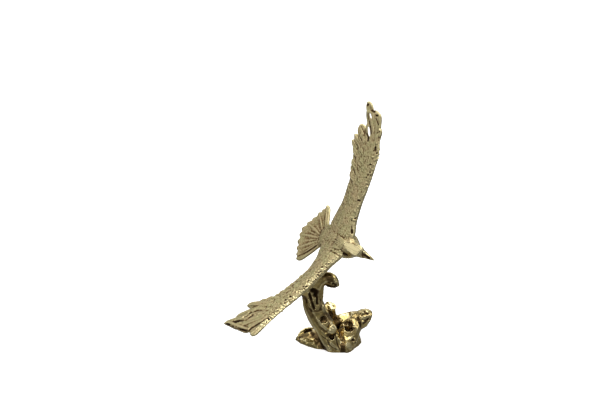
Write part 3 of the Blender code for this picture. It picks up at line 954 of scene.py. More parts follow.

# %% Pits and hollows of the falcon, with painted shade and painted highlights
FALCON_MARKS = (  # radius, depth in mm, how dark, from dirt in some rows and painted shade in others, then points of along, sideways, up in shares of the span
    (1.6, 0.8, 1, (28.4, 0.9, 0.1), (31, 0.9, -0.8), (32.8, 0.7, -1.8)),  # the gape, its dark a painted shadow
    (1.7, 0.6, 0.8, (10.7, -6.2, 1), (12.8, -5.8, -0.2)),  # behind the jaw
    (0.7, 0.2, 0.5, (9.4, 2.3, 2.7), (17.5, 2.8, 1.9), (25.6, 2.4, 1.5)),  # lines of the crown
    (0.7, 0.2, 0.5, (10, -0.9, 3), (18.8, -0.3, 2.8), (24.7, 0.1, 2.2)),
    (0.9, 0.3, 0.6, (4.3, -3.1, 2.5), (8.4, -5.3, 1.9), (11.7, -6.1, 0.3)),  # the neck and under the ruff
    (1.1, 0.2, 0.3, (-0.7, -9.8, 3.3), (5.6, -9.5, 3.1), (9.5, -9.8, 1.9)),
    (0.6, 0.3, 0.5, (-4, -0.5, 2.3), (0.8, -0.2, 2.7), (5.5, -0.7, 2.9)),
    (0.6, 0.3, 0.5, (-3.5, -3, 2.1), (1.4, -2.7, 2.4), (6.1, -2.9, 2.6)),
    (0.6, 0.3, 0.5, (-3.5, 1.4, 2.3), (1.4, 1.7, 2.6), (5.8, 1.5, 2.8)),
    (1.1, 0.2, 0.5, (-34.5, -27.3, -2.5), (-27.7, -20.2, -2.2), (-22.6, -12.9, -2.1)),  # the tail
    (1.6, 0.6, 0.9, (7.8, 10.4, 2.3), (6.8, 11.6, 2.6)),  # the left shoulder
    (0.9, 0.3, 0.3, (6.6, 11.5, 2.6), (5.4, 14, 3.2)),
    (1, 0.4, 0.9, (1.9, 33.5, 7.2)),  # the left leading edge
    (0.9, 0.4, 0.8, (5.1, 21.3, 3.8)),
    (0.9, 0.4, 0.7, (3.1, 54.5, 12)),
    (1, 0.4, 0.9, (-0.7, 61, 14.2)),
    (1.7, 0.6, 1, (-24.2, 99.6, 25.9)),  # the left hand, from its tips to the foot of the slit
    # painted shade over the first finger of the left hand
    (2.4, 0.1, 0.25, (-22.5, 99, 25.5), (-19.9, 97.9, 24.7)),
    (1.6, 0.3, 0.8, (-18.4, 97.5, 24.6), (-15.8, 97.3, 24.4)),
    # painted shade along the slit, down to its foot
    (0.5, 0.3, 0.8, (-21.2, 94.1, 24.2), (-18.7, 91, 23.1), (-17.2, 88.8, 22.2)),
    (0.8, 0.5, 0.9, (-17.1, 89.1, 22.3), (-15.5, 87.1, 21.8), (-12.6, 84, 20.8), (-11.2, 81.7, 20)),
    (1.2, 0.6, 0.9, (-15.4, 80.2, 19.3), (-12.6, 78.3, 18.9), (-11.9, 75.9, 18.3)),
    (1, 0.7, 1, (-12.3, 95.1, 24.1), (-10.3, 95.5, 24.4)),
    (0.8, 0.3, 0.6, (-11.1, 93.3, 23.8), (-8.3, 91.4, 23), (-6.8, 89.9, 22.3)),
    (0.6, 0.3, 0.6, (-4.9, 84.5, 20.6), (-3.2, 86, 20.6)),
    (1.9, 0.35, 0.5, (-1.8, 74.2, 17.6), (-0.8, 72.4, 17)),
    (0.9, 0.3, 0.6, (-2.4, 71.6, 16.8)),
    (0.6, 0.3, 0.5, (-26.5, 80.4, 19.5), (-22.2, 76.4, 18.6), (-14.4, 71.8, 17)),
    (0.6, 0.3, 0.5, (-24.4, 83.3, 20.3), (-20.1, 80.4, 19.1)),
    (0.6, 0.3, 0.5, (-27.5, 73.1, 17.1), (-22, 70.3, 16.6), (-18.5, 65.3, 14.9)),
    (1, 0.4, 0.9, (8.3, -23.4, 5)),  # the right leading edge
    (1.1, 0.4, 1, (5.5, -30.1, 7.7)),
    (1.2, 0.5, 1, (-0.9, -54.7, 15)),
    (1.3, 0.5, 1, (-1.8, -58.7, 16.3)),
    (1.3, 0.7, 1, (-0.8, -77.1, 21.9)),
    (1.1, 0.5, 0.9, (-10.5, -47, 13)),
    (1.6, 0.35, 0.25, (-20.1, -80.7, 23.3), (-19.9, -83.8, 24.9), (-21, -86.2, 25.7)),  # the right hand; the first three strokes are painted shadows of the blades between its fingers
    (1.8, 0.4, 0.25, (-16.2, -82, 24.1), (-16.8, -87, 26.3), (-20.5, -90.3, 27.3), (-25.7, -93.4, 28.4)),
    (0.9, 0.15, 0.4, (-18.6, -88.8, 26.9), (-22.6, -91.7, 27.7)),
    (1.5, 0.5, 0.35, (-2.8, -76.7, 22), (-5, -83.8, 24.6), (-7.1, -89.3, 26.7), (-7.2, -92.4, 27.4)),
    (0.6, 0.3, 0.9, (-18.2, -90.2, 27.5)),
    (0.6, 0.3, 0.9, (-4.6, -84.2, 24.6)),
    (1.2, 0.2, 0.4, (-30, -98.6, 30), (-19, -96.3, 29), (-8, -94, 27.8)),
    (0.9, 0.3, 0.8, (-29.6, -98.4, 30.1), (-26.8, -97.1, 29.5)),
    (0.9, 0.4, 1, (-19.3, -95.6, 29.3)),
    (1.4, 0.3, 0.7, (-14.6, -95.2, 28.3), (-8.1, -92.4, 27.7)),
    (1, 0.3, 0.7, (-5.9, -11.9, 2.3)),  # the back
    (1, 0.3, 0.7, (-13.6, 1.4, 1.1)),
)
FALCON_POLISH_AND_HIGHLIGHTS = (  # radius, height in mm, how light: polish and painted highlight, then points
    (3.4, 0.2, 0.9, (10.2, 0.6, 3), (16.1, 1.1, 2.6), (22.7, 1.9, 2.5), (26.5, 2.4, 1.2)),  # the crown, polished and with a painted highlight
    (2.2, 0.2, 0.5, (14.3, -3.2, 1.8), (19, -2.6, 1.6)),  # the jaw, polished and with a painted highlight
    # painted highlights on the tips and edges of the fingers, polished as well
    (0.8, 0.1, 1, (-21.9, 95.5, 24.6)),
    (0.8, 0.1, 1, (-13.5, 96.9, 23.9)),
    (1.1, 0.3, 0.9, (-4, 86.9, 21.1)),
    (0.8, 0.3, 1, (-3, 74.3, 17.8)),
    (0.8, 0.2, 0.4, (-10.7, 86.8, 21.5), (-9.4, 83.5, 20.6)),
    (2.4, 0.2, 0.3, (-3.3, -77.4, 22.2), (-3.8, -84.6, 24.7), (-4, -92.3, 27.4)),
    (0.7, 0.2, 1, (-1.5, -80.1, 23), (-1.1, -87, 25.4)),
    (1, 0.3, 0.4, (-20.1, -83.6, 24.8), (-22.6, -88.3, 26.5), (-25.8, -92.4, 28.1)),
)
FACETS = (  # middle, the way it faces, radius
    ((-19.0, -96.8, 28.8), (0.197, -0.907, 0.372), 17.0),
    ((19.0, 1.4, 2.5), (0.10, 0.02, 1.0), 8.0),
    ((24.3, -1.2, 1.3), (0.72, -0.12, 0.68), 4.4),
    ((24.3, 4.6, -1.6), (0.55, 0.80, 0.25), 3.6),
)
RIGHT_HAMMER = (150, 0.15)  # number of marks, and the share of them that are pits
LEFT_HAMMER = (50, 0.25)
HAMMER_FROM, HAMMER_TO = 16, 84
HAMMER_BEHIND = (0.2, 4.5)
DENT_RADIUS = (0.7, 1.3)
DENT_DEPTH = (0.25, 0.5)
PIT_STAIN = (0.4, 0.9)
# the beads are polished and painted lighter as glints
BEAD_POLISH_AND_GLINT = 0.35
SHOULDER_END = 8
FAR_AWAY = 99


def leading_edges(points, wing):
    """How far each point lies behind this wing's leading edge, and how far out, in shares."""
    out = points[:, 1] / SPAN_UNIT * wing["side"]
    table = [read_curve(wing["leading"], o) for o in range(0, WING_END + 20)]
    behind = np.interp(out, range(len(table)), table) - points[:, 0] / SPAN_UNIT
    return np.where(out > SHOULDER_END, behind, FAR_AWAY), out


def hammer(skin, wing, play, marks, dark_marks):
    """Small dents and beads along a leading edge; a share of them are stained pits, and the beads are
    polished and painted lighter as glints.
    """
    behind, out = leading_edges(skin.points, wing)
    for _ in range(marks):
        at = play.uniform(HAMMER_FROM, HAMMER_TO)
        back = play.uniform(*HAMMER_BEHIND)
        choice = np.argmin((behind - back) ** 2 + (out - at) ** 2 - skin.normals[:, 2])
        pit = play.random() < dark_marks
        radius = play.uniform(*DENT_RADIUS) * SPAN_UNIT
        depth = play.uniform(*DENT_DEPTH) * SPAN_UNIT * (1 if pit else -1)
        dirt_and_shade, polish_and_highlight = (play.uniform(*PIT_STAIN), 0) if pit else (0, BEAD_POLISH_AND_GLINT)
        skin.stroke([skin.points[choice]], radius, depth, dirt_and_shade, polish_and_highlight)


for centre, facing, radius in FACETS:
    skin.flatten(Vector(centre) * SPAN_UNIT, facing, radius * SPAN_UNIT)
hammer(skin, RIGHT_WING, play, *RIGHT_HAMMER)
hammer(skin, LEFT_WING, play, *LEFT_HAMMER)
skin.draw(FALCON_MARKS, span_point, SPAN_UNIT)
skin.draw(FALCON_POLISH_AND_HIGHLIGHTS, span_point, SPAN_UNIT, bright_marks=True)
skin.write()
print(len(FALCON_MARKS), "grooves and pits,", len(FALCON_POLISH_AND_HIGHLIGHTS), "rubbed ridges")

# %% [markdown]
# ## Where hands have rubbed and highlights are painted, where dirt stays and shade is painted
# Two numbers are kept for every point of a casting. Rub is 1 where the metal is polished and where a
# highlight
# is painted in: the head, and the leading edges, which stand proud. Stain is 1 where old dirt stays and where
# shade is painted in: the pits and the painted shadows of the marks, and every spot that lies deeper than its
# surroundings, where small hollows hold dirt and wide hollows get painted shade. That depth is found by
# comparing the skin with a smoothed copy of itself.

# %% Depth against a smoothed copy
LOCAL_ROUNDS = 10
WIDE_ROUNDS = 70
LOCAL_DEPTH = 0.00010
WIDE_DEPTH = 0.00030


def hollowness(skin, rounds):
    """How far each point lies under the same skin after some rounds of smoothing, in metres."""
    mesh = skin.thing.data
    ends = np.empty(len(mesh.edges) * 2, np.int32)
    mesh.edges.foreach_get("vertices", ends)
    here, there = ends[::2], ends[1::2]
    count = len(skin.points)
    degree = np.bincount(here, minlength=count) + np.bincount(there, minlength=count)
    smooth = skin.points.copy()
    for _ in range(rounds):
        for axis in range(3):
            line = smooth[:, axis]
            total = np.bincount(here, line[there], count) + np.bincount(there, line[here], count)
            smooth[:, axis] = (line + total / degree) / 2
    return ((smooth - skin.points) * skin.normals).sum(axis=1)


def relief(skin):
    """From 0 to 1: how deep each point lies in small and in wide hollows, and how far it stands out."""
    local, wide = hollowness(skin, LOCAL_ROUNDS), hollowness(skin, WIDE_ROUNDS)
    return [np.clip(depth, 0, 1) for depth in (local / LOCAL_DEPTH, wide / WIDE_DEPTH, -local / LOCAL_DEPTH)]


def keep_finish(thing, polish_and_highlight, dirt_and_shade):
    keep_number(thing, "polish_and_highlight", np.clip(polish_and_highlight, 0, 1))
    keep_number(thing, "dirt_and_shade", np.clip(dirt_and_shade, 0, 1))
    print(thing.name, "is rubbed by", round(float(polish_and_highlight.mean()), 2), "and stained by",
          round(float(dirt_and_shade.mean()), 2))


# %% Worn places, and the grain of the skin everywhere else
GRAINS = ((0.0011, 0.00020), (0.0026, 0.00016))  # size and depth
HEAD_START, HEAD_FADE = 11, 4
TAIL_START, TAIL_FADE, TAIL_HALF_WIDTH = -19, 4, 33
HAND_START, HAND_FADE = 76, 8
WORN_ROUNDS = 14
WORN_SHARES = (0.5, 0.25, 0.4, 0.5)  # how far the head, tail, hands and shiny strokes are smoothed
CALM_SHARES = (0.95, 0.3, 0.5, 0.9)  # and how much of the grain they lose
WEIGHT_LEVELS = 10


def weight_group(thing, name, weights):
    group = thing.vertex_groups.new(name=name)
    steps = np.clip(np.round(weights * WEIGHT_LEVELS), 0, WEIGHT_LEVELS).astype(int)
    for level in range(1, WEIGHT_LEVELS + 1):
        group.add(np.flatnonzero(steps == level).tolist(), level / WEIGHT_LEVELS, "REPLACE")
    return group.name


def grain(thing, size, depth, group=""):
    """Raises a fine texture in the mesh itself."""
    texture = bpy.data.textures.new("grain", "CLOUDS")
    texture.noise_scale = size
    finish_modifier(thing, "DISPLACE", texture=texture, texture_coords="LOCAL",
                    strength=depth * 2, mid_level=0.5, vertex_group=group)


def worn_places(skin):
    """1 on the head, 1 on the tail and 1 on the hands, with soft borders."""
    along, sideways = skin.points[:, 0] / SPAN_UNIT, np.abs(skin.points[:, 1] / SPAN_UNIT)
    head = np.clip((along - HEAD_START) / HEAD_FADE, 0, 1) * (sideways < HEAD_START)
    tail = np.clip((TAIL_START - along) / TAIL_FADE, 0, 1) * (sideways < TAIL_HALF_WIDTH)
    return head, tail, np.clip((sideways - HAND_START) / HAND_FADE, 0, 1)


places = (*worn_places(skin), np.clip(2 * skin.polish_and_highlight - 1, 0, 1))
worn, calm = (np.max([share * place for share, place in zip(shares, places)], axis=0)
              for shares in (WORN_SHARES, CALM_SHARES))
finish_modifier(falcon, "SMOOTH", factor=SOFTENING, iterations=WORN_ROUNDS,
                vertex_group=weight_group(falcon, "worn", worn))
rough_group = weight_group(falcon, "rough", 1 - calm)
for size, depth in GRAINS:
    grain(falcon, size, depth, rough_group)
thin_out(falcon)

# %% Polish and painted highlight, dirt and painted shade on the falcon
# How far the leading edges, the head and raised points are polished and painted with highlights, and how dark
# the tail, the small hollows and, as painted shade, the wide hollows get.
EDGE_POLISH_AND_HIGHLIGHT_REACH = 4.5
LEFT_EDGE_SHARE = 0.35
PLAIN_EDGE = 0.6
HAND_LOSS = 0.6
HEAD_POLISH_AND_HIGHLIGHT, RAISED_POLISH_AND_SPARKLE = 0.5, 0.4
TAIL_STAIN, TAIL_LOSS = 0.14, 0.05
SMALL_STAIN, WIDE_SHADE = 0.3, 0.45


# polish and a painted highlight along a leading edge, fading behind it
def edge_polish_and_highlight(skin, wing):
    return np.clip(1 - leading_edges(skin.points, wing)[0] / EDGE_POLISH_AND_HIGHLIGHT_REACH, 0, 1)


skin = Skin(falcon)
dark_marks, bright_marks = take_number(falcon, "dark_marks"), take_number(falcon, "bright_marks")
head, tail, hands = worn_places(skin)
small_hollow, wide_hollow, raised = relief(skin)
edge = edge_polish_and_highlight(skin, RIGHT_WING) + LEFT_EDGE_SHARE * edge_polish_and_highlight(skin, LEFT_WING)
edge *= (PLAIN_EDGE + raised) * (1 - HAND_LOSS * hands)
# Lightening is polish and painted highlight; darkening is dirt in the pits and small hollows, a darker tail,
# and painted shade in the marked shadows and wide hollows.
keep_finish(falcon, HEAD_POLISH_AND_HIGHLIGHT * head + bright_marks + edge + RAISED_POLISH_AND_SPARKLE * raised,
            dark_marks + TAIL_STAIN * tail + small_hollow * (SMALL_STAIN - TAIL_LOSS * tail)
            + wide_hollow * WIDE_SHADE)

# %% [markdown]
# ## Setting the falcon in flight
# The bird banks to its right, dives a little and flies towards the viewer's right. It is turned about its
# own axes and then moved until the pad's middle stands on the stump's seat.

# %% Attitude
HEADING_DEG = -55
NOSE_DOWN_DEG = 4
BANK_DEG = 54
SEAT_SIDEWAYS = -0.25
SEAT_FORWARD = -0.157
falcon_turn = Euler([math.radians(a) for a in (BANK_DEG, NOSE_DOWN_DEG, HEADING_DEG)]).to_matrix()
stump_seat = Vector((SEAT_SIDEWAYS * STUMP_WIDTH, SEAT_FORWARD * STUMP_WIDTH, STUMP_HEIGHT))
move_mesh(falcon, stump_seat - falcon_turn @ seat_middle, falcon_turn)
print("the pad sits at", [round(1000 * v, 1) for v in stump_seat], "mm")

# %% [markdown]
# ## The stump's rough form
# The stump is a leaning trunk that hooks over at the top, with a spread foot, a mass to the right that ends
# in two broken stubs, and roots and knobs around them. Every limb is a bevelled curve, and the foot is its
# outline extruded upwards.

# %% Limbs of the stump
LIMBS = {  # stations of x, y, z and half thickness
    "trunk": ((10, -27, -8, 13), (4, -25, 8, 14.2), (-4.4, -21, 28, 14), (-15, -16.5, 46, 14.6),
              (-21.5, -13.5, 61, 13.6)),
    "collar": ((-15, -16.5, 46, 14), (-20.9, -13.8, 61, 14.8), (-23.6, -13.8, 73, 12.8),
               (-25.5, -13, 86, 10)),
    "hook": ((-17, -8, 94, 9), (-9, -6, 99, 9), (0, -4, 98.4, 9.6), (3.8, -3, 92, 9.6),
             (4.6, -2.5, 84.6, 9.2)),
    "back stub": ((2, 11, 16, 10), (2.6, 12, 33, 8.2), (1.2, 12.4, 43, 8), (2.2, 12.6, 50.2, 8.2),
                  (2.8, 12.8, 52.8, 6)),
    "right mass": ((9, -24, 0, 12), (22.5, -18, 9, 14.6), (28.4, -8, 21, 14.6), (35, 3, 26, 13.6),
                   (43.5, 7, 29.5, 13), (50.5, 9, 32.5, 11.8), (55, 10, 30, 10)),
    "ridge": ((1, 8, 15, 11), (12.5, 10, 23.5, 9.6), (26, 10, 28, 9.8), (40, 9, 31.8, 9.8)),
    "front knob": ((20, -26, 9, 10.5), (28, -24, 9.5, 9.4), (32, -20, 12, 7.6)),
    "near corner": ((8, -30, 3, 9), (19, -31.5, 4, 8.6), (25, -29, 4, 7.8)),
    "left root": ((-3, -16, 10, 13), (-16, -6, 6, 12), (-29, 1.5, 3.4, 10.4), (-36, 5, 2.2, 9.2),
                  (-39.5, 6, 2, 7.6)),
    "round stub": ((-6, -20, 20, 8), (-0.5, -27, 28, 7), (4.3, -33, 34.2, 6.6), (5.4, -34.4, 35.4, 5.2)),
    "back roots": ((1, 0, 5, 16), (9, 15, 5, 14), (22, 24, 0, 11)),
}
BARK_RIDGES = (  # points of x, y, z, then half thickness
    ((-42, -1, 8), (-36, 3.5, 11.5), (-29, 6.5, 14), (-21, 6.5, 15), 2.8),
    ((37, 5.5, 41.5), (45, 3, 42), (53, 2.5, 41.5), 2.6),
    ((40, -6.5, 33), (47.7, -4, 31), (55, -1.5, 32), 2.6),
)


def stump_limb(name, stations):
    return limb(name, [(*stump_point(*place), half * STUMP_UNIT) for *place, half in stations])


wood = [stump_limb(name, stations) for name, stations in LIMBS.items()]
print(len(wood), "limbs")

# %% Foot and crown
FOOT = (
    (-46.5, 0), (-39, -11.5), (-29, -20.5), (-17, -28.5), (-5, -31.5), (7, -34), (17, -38.5), (24, -40.5),
    (29.5, -36), (33.5, -28), (40, -19), (44.5, -9), (43.5, 6), (34, 20), (20, 28), (3, 22), (-14, 9),
    (-28, 12), (-40, 10),
)
FOOT_RINGS = ((-8, 1), (1, 1), (5, 0.97), (10, 0.86), (14, 0.6))  # height, share
CROWN_RINGS = ((PAD_HEIGHT / 2, 0.97), (0, 1), (-PAD_HEIGHT, 0.97))
CROWN_TILT = 0.35
CROWN_DEPTH = 0.75


def spread_foot():
    """The foot's outline as one face, extruded upwards and drawn in."""
    disc = filled_disc("foot", len(FOOT))
    middle = Vector((sum(p[0] for p in FOOT), sum(p[1] for p in FOOT))) / len(FOOT)
    for vertex, (x, y) in zip(disc.data.vertices, FOOT):
        vertex.co = stump_point(x, y, FOOT_RINGS[0][0])
    return extrude_along(disc, [(stump_point(*middle, z), (share, share, 1)) for z, share in FOOT_RINGS])


def crown():
    """The stump's spread top: ovals from the seat down into the trunk, bridged in order."""
    rings = []
    seat = falcon_turn @ seat_turn
    for reach, share in CROWN_RINGS:
        centre = stump_seat + seat @ Vector((0, 0, reach))
        rings.append((centre, seat @ Matrix.Diagonal((share * SEAT_LENGTH / 2, share * SEAT_WIDTH / 2, 1))))
    across, nearer = Vector((1, 0, CROWN_TILT)).normalized(), Vector((0, -1, 0))
    level = axes(across, nearer, across.cross(nearer))
    for *centre, half in LIMBS["trunk"][:-3:-1]:
        half *= STUMP_UNIT
        rings.append((stump_point(*centre), level @ Matrix.Diagonal((half, half * CROWN_DEPTH, 1))))
    ovals = []
    for centre, shape in rings:
        ovals.append(add(bpy.ops.mesh.primitive_circle_add, "oval", vertices=DISC_SIDES, radius=1))
        move_mesh(ovals[-1], centre, shape)
    top = join(ovals, "crown")
    edit_all()
    bpy.ops.mesh.bridge_edge_loops(type="SINGLE")
    bpy.ops.mesh.select_all(action="SELECT")
    bpy.ops.mesh.fill_holes(sides=DISC_SIDES)
    face_outwards()
    return top


wood += [spread_foot(), crown()]
wood += [stump_limb("bark ridge", taper(path, half)) for *path, half in BARK_RIDGES]
print("rough stump:", len(wood), "forms")

# %% Hollows cut into the stump
HOLLOWS = (  # middle x, y, z and half sizes across, in depth and upright
    (26, -18, 25.5, 6.4, 5.6, 5.6),
    (22.5, -15, 33, 4.6, 5, 4.4),
    (29, -15, 31.5, 4, 4.6, 5),
    (15.5, -14, 30, 3.6, 4, 2.6),
    (3.5, -36, 23, 3.6, 5, 3.6),
    (-6.5, -30.5, 48, 7, 3.6, 5.6),
    (-29, 0, 15.5, 8.5, 4.4, 5),
    (-2.5, -8, 84.5, 6.5, 5, 5),
)
HOOK_CUT = (5, -5, 76.2, 10, 16, 12)
COARSE_GRAIN = 0.00050
GOUGE_GRAIN = (0.005, 0.0011)


def cutter(operator, x, y, z, *half_sizes, **settings):
    """A ball or a block of half size 1, stretched and moved to its place in the stump."""
    lump = add(operator, "cutter", **settings)
    move_mesh(lump, stump_point(x, y, z), size=stump_point(*half_sizes))
    return lump


stump = melt(join(wood, "stump_casting"), COARSE_GRAIN)
balls = [cutter(bpy.ops.mesh.primitive_ico_sphere_add, *hollow, subdivisions=4) for hollow in HOLLOWS]
gouge = melt(join(balls + [cutter(bpy.ops.mesh.primitive_cube_add, *HOOK_CUT)], "gouge"), COARSE_GRAIN, 1)
grain(gouge, *GOUGE_GRAIN)
cut_away(stump, gouge)
melt(stump)
print("stump skin:", len(stump.data.vertices), "points")

# %% [markdown]
# ## The bark
# The stump has no feathers to copy, so its relief is drawn. Polished ridges, which also paint highlights,
# and stained grooves run along the trunk, broad strokes of painted shade darken the crook, the hollows and
# the right mass, and two facets are filed where the photograph shows a flat mirror. Specks roughen the broken
# ends, their beads painted lighter as glints. The side that the photograph doesn't show gets plain grooves
# only.
# Last, the seat and the underside are filed flat.

# %% Grooves and ridges of the bark, with painted shade and painted highlights
STUMP_MARKS = (  # radius, depth in mm, how dark, from dirt in some rows and painted shade in others, then points of x, y, z
    (5, 0.9, 1, (-23.3, -24, 90.7), (-17.6, -20.9, 86.6), (-19.8, -21.7, 81.7)),  # the flutes
    (2.9, 0.8, 1, (-27.2, -24.7, 85.8), (-24.1, -24.7, 73.9), (-20.8, -29, 63.5)),
    (2.9, 0.8, 1, (-18.7, -21.4, 84.2), (-16.8, -22.1, 78), (-16.7, -25.1, 70.1)),
    (5, 0.2, 0.4, (-35.4, -21.5, 78.6), (-31, -25, 66), (-24, -28, 52)),
    (2.9, 0.4, 0.5, (-11.3, -21.1, 74.8), (-10.5, -21.1, 66.9), (-12.5, -25.6, 62.5)),
    (2.7, 0.4, 0.7, (-31.7, -23.4, 77.2), (-28.9, -22.6, 67.6), (-24.4, -28.5, 59.9)),
    (5, 0.2, 0.6, (-37.4, -24.5, 82.4), (-33.4, -23.5, 78.6)),
    (3.4, 0.3, 0.3, (-25.2, -27.4, 58), (-20.7, -30.5, 49), (-13, -32.3, 37.3), (-5.6, -34.8, 30.5)),
    (2.5, 0.3, 0.5, (-22.7, -30.1, 60.7), (-16.5, -28.6, 60), (-10.7, -25.2, 60.9)),
    (1.5, 0.3, 0.9, (-3.8, 9.2, 52), (0.2, 4.9, 44.7), (4.9, 5.4, 37.6)),  # beside the back stub
    (6.9, 0.5, 0.5, (-11.2, -22.8, 49.1), (-5, -24.6, 52.7), (1.4, -19.6, 46.1)),  # the trunk's hollow
    (3, 0.4, 0.6, (-10.7, -31.1, 43.9), (-9.5, -23.6, 46.8)),
    (4.2, 0.4, 0.6, (-1.7, -36, 25.8), (3, -31.1, 19.9), (7.5, -32.9, 26.9)),  # under the round stub
    (1.3, 0.2, 0.35, (2.5, -34, 37.6), (5.4, -33.5, 36.7)),  # the round stub's end
    (1.6, 0.3, 0.5, (-2.3, -33, 37.6), (0.1, -28.7, 40.7)),
    (2.7, 0.4, 0.8, (10, -10.1, 25.6), (18.2, -14.5, 32.1)),  # the big hole
    # the next five have no depth: painted shade in the big hole, the crook, the trunk's hollow, on the right
    # mass and below the hole
    (11, 0, 0.55, (25.5, -12, 27.5)),
    (9.5, 0, 0.6, (3.5, 5, 38), (9, 3, 31), (12, -1, 24), (15, -8, 15),
     (17, -15, 9)),
    (9, 0, 0.45, (-8, -27, 50), (-2, -25, 44)),
    (9, 0, 0.35, (34, -4, 38), (46, 2, 42), (52, 2, 36)),
    (7, 0, 0.5, (16.5, -15, 28), (17.5, -22, 21), (18, -27, 14)),
    (5.4, 0.4, 0.45, (19.4, -11.5, 34), (25.2, -11.6, 35.4), (31, -14.5, 36.5)),
    (6, 0.4, 0.6, (20.6, -13.3, 24.1), (27.5, -15.6, 21.2), (31, -20.2, 27.7)),
    (3.6, 0.6, 0.6, (39.8, -4.5, 37.2), (42, -8.7, 31.2), (43.2, -9.7, 25)),  # the right stubs
    (2.9, 0.5, 0.8, (47.5, 3.2, 44.1), (52.6, 0.9, 41.2)),
    (2.9, 0.5, 0.7, (47.3, -6.1, 29.9), (53.1, -2.4, 34.7)),
    (3.1, 0.5, 1, (29.8, -31, 15.8), (32.7, -29.7, 15.1)),  # the front
    (1.7, 0.3, 0.6, (8.6, -33.4, 22.4), (10, -36.1, 14.4), (13.7, -39.4, 5.5)),
    (1.3, 0.25, 0.6, (-10.7, -33.3, 23.8), (-3.3, -37.3, 19.1), (0.1, -38.2, 11.6), (9.8, -38.9, 5.2)),
    (5.4, 0.3, 0.8, (17.7, -36.8, 10.8), (17.7, -39.7, 2.9)),
    (4.5, 0.6, 0.9, (-30.3, 3.7, 11.9), (-25.7, 2.8, 11.7), (-22.4, -11.2, 14.9)),  # the left root
    (2.9, 0.4, 0.6, (-40.8, -5, 6.2), (-36.2, -6.5, 9.7)),
    (8, 0, 0.5, (-35, -6, 9), (-25, -12, 11)),
    (8, 0.5, 0.6, (-18.4, -14.4, 16.5), (-16.2, -24.5, 9.7), (-6.9, -33.3, 4.6)),
    (8, 0.2, 0.6, (-4.8, -8.9, 107.9), (-0.7, -11.3, 104.4), (1.5, -12.4, 99.3)),  # the hook
    (2.7, 0.2, 1, (-6.1, -10.6, 90.6), (0.6, -12, 91.3), (8.6, -11, 90.6)),
    (1.8, 0.4, 1, (4, -12.6, 95.6), (8.6, -10.9, 93.7)),
)
STUMP_POLISH_AND_HIGHLIGHTS = (  # radius, height in mm, how light: polish and painted highlight, then points
    (2, 0.4, 1, (-28.7, -26.3, 89.1), (-26.9, -24, 82.8), (-23.8, -23.7, 76.1)),  # between the flutes
    (2, 0.5, 1, (-21.9, -22.5, 80.1), (-19.6, -22.7, 73), (-18.1, -24.9, 67.4)),
    (2.2, 0.4, 0.8, (-15.9, -19.9, 90.1), (-14, -22.8, 80.9), (-14.4, -25.3, 71.6)),
    (2.6, 0.4, 0.8, (-10, -21, 72), (-8, -24, 60), (-2, -26, 50)),
    (2.2, 0.5, 1, (-13.1, -19.3, 89.8), (-10.6, -15.8, 94.7), (-5.1, -14.2, 98.5), (-0.6, -13.5, 98.9)),
    (3.1, 0.6, 0.7, (-22.7, -30.2, 59.4), (-17.6, -32.5, 50), (-11.9, -32.3, 41.2), (-5.1, -33.7, 35.3)),
    (4.9, 0.7, 0.8, (-20.7, -28, 35.7), (-16.3, -31.6, 22.9), (-8.3, -34.2, 10.8), (-0.4, -38.1, 5.4)),
    (5.6, 0.1, 1, (2.9, -28.3, 39.9), (6.3, -32.7, 36.8), (0.5, -37.4, 32.5)),  # the round stub's end
    (4, 0.2, 0.8, (10.9, 9.4, 32.2), (20.2, 11.7, 34.4), (29.3, 8.3, 38.2)),  # the right mass and its stubs
    (3.8, 0.4, 0.5, (39.4, 2.5, 42.5), (45.4, 8.6, 44.1), (52.2, 4.4, 43.5)),
    (4, 0.4, 0.9, (46.7, -3.3, 36.6), (55.5, -0.3, 36.4)),
    (5.1, 0.5, 0.4, (34.7, -16.8, 36.7), (38.6, -21, 29.4), (40.1, -16.6, 15)),
    (4, 0.7, 1, (28.1, -30.6, 18.3), (31.5, -29.5, 19.1)),  # knobs
    (5.4, 0.9, 1, (25.2, -35.7, 10.2), (28.1, -35.4, 6.7)),
    (2.9, 0.5, 0.8, (12.7, -32, 17.7), (15.5, -33.4, 13.1)),
    (1.8, 0.5, 0.8, (-42.5, -2.8, 5.7), (-37.9, 2.3, 12.6), (-29.8, 4.9, 15.4), (-21.6, 6, 15.5)),
    (2.4, 0.2, 0.6, (-38.5, -8.1, 6.4), (-31, -16.2, 6.4), (-22.4, -22.3, 7.2)),
    (6.7, 0, 0.9, (2.5, 12.2, 51.5), (4, 7.3, 48)),  # the back stub: a painted highlight on its filed facet
    (2.9, 0.3, 0.5, (-34.5, -19.5, 67.4), (-30, -24.5, 55.3), (-23.2, -27.3, 40.7)),
    (3.3, 0.3, 0.4, (-7.8, -19.8, 63.6), (-5, -21.4, 56.4), (-0.3, -18, 49.3)),
    (2.9, 0.3, 0.8, (1.8, -38.4, 14.4), (10.9, -39, 5.3)),
    (2.5, 0.3, 0.8, (15.6, -29.9, 16.6), (16.6, -36.8, 10.8)),
    (2.2, 0.3, 1, (24.9, 13.4, 35.7), (30.5, 10.2, 38.6), (32.5, 3.1, 40.1)),
    (2.5, 0.3, 1, (6.3, -11.4, 99.2), (9.8, -10.1, 92.6)),  # the hook's end
)
skin = Skin(stump)
print(len(STUMP_MARKS), "grooves and", len(STUMP_POLISH_AND_HIGHLIGHTS), "ridges of bark")

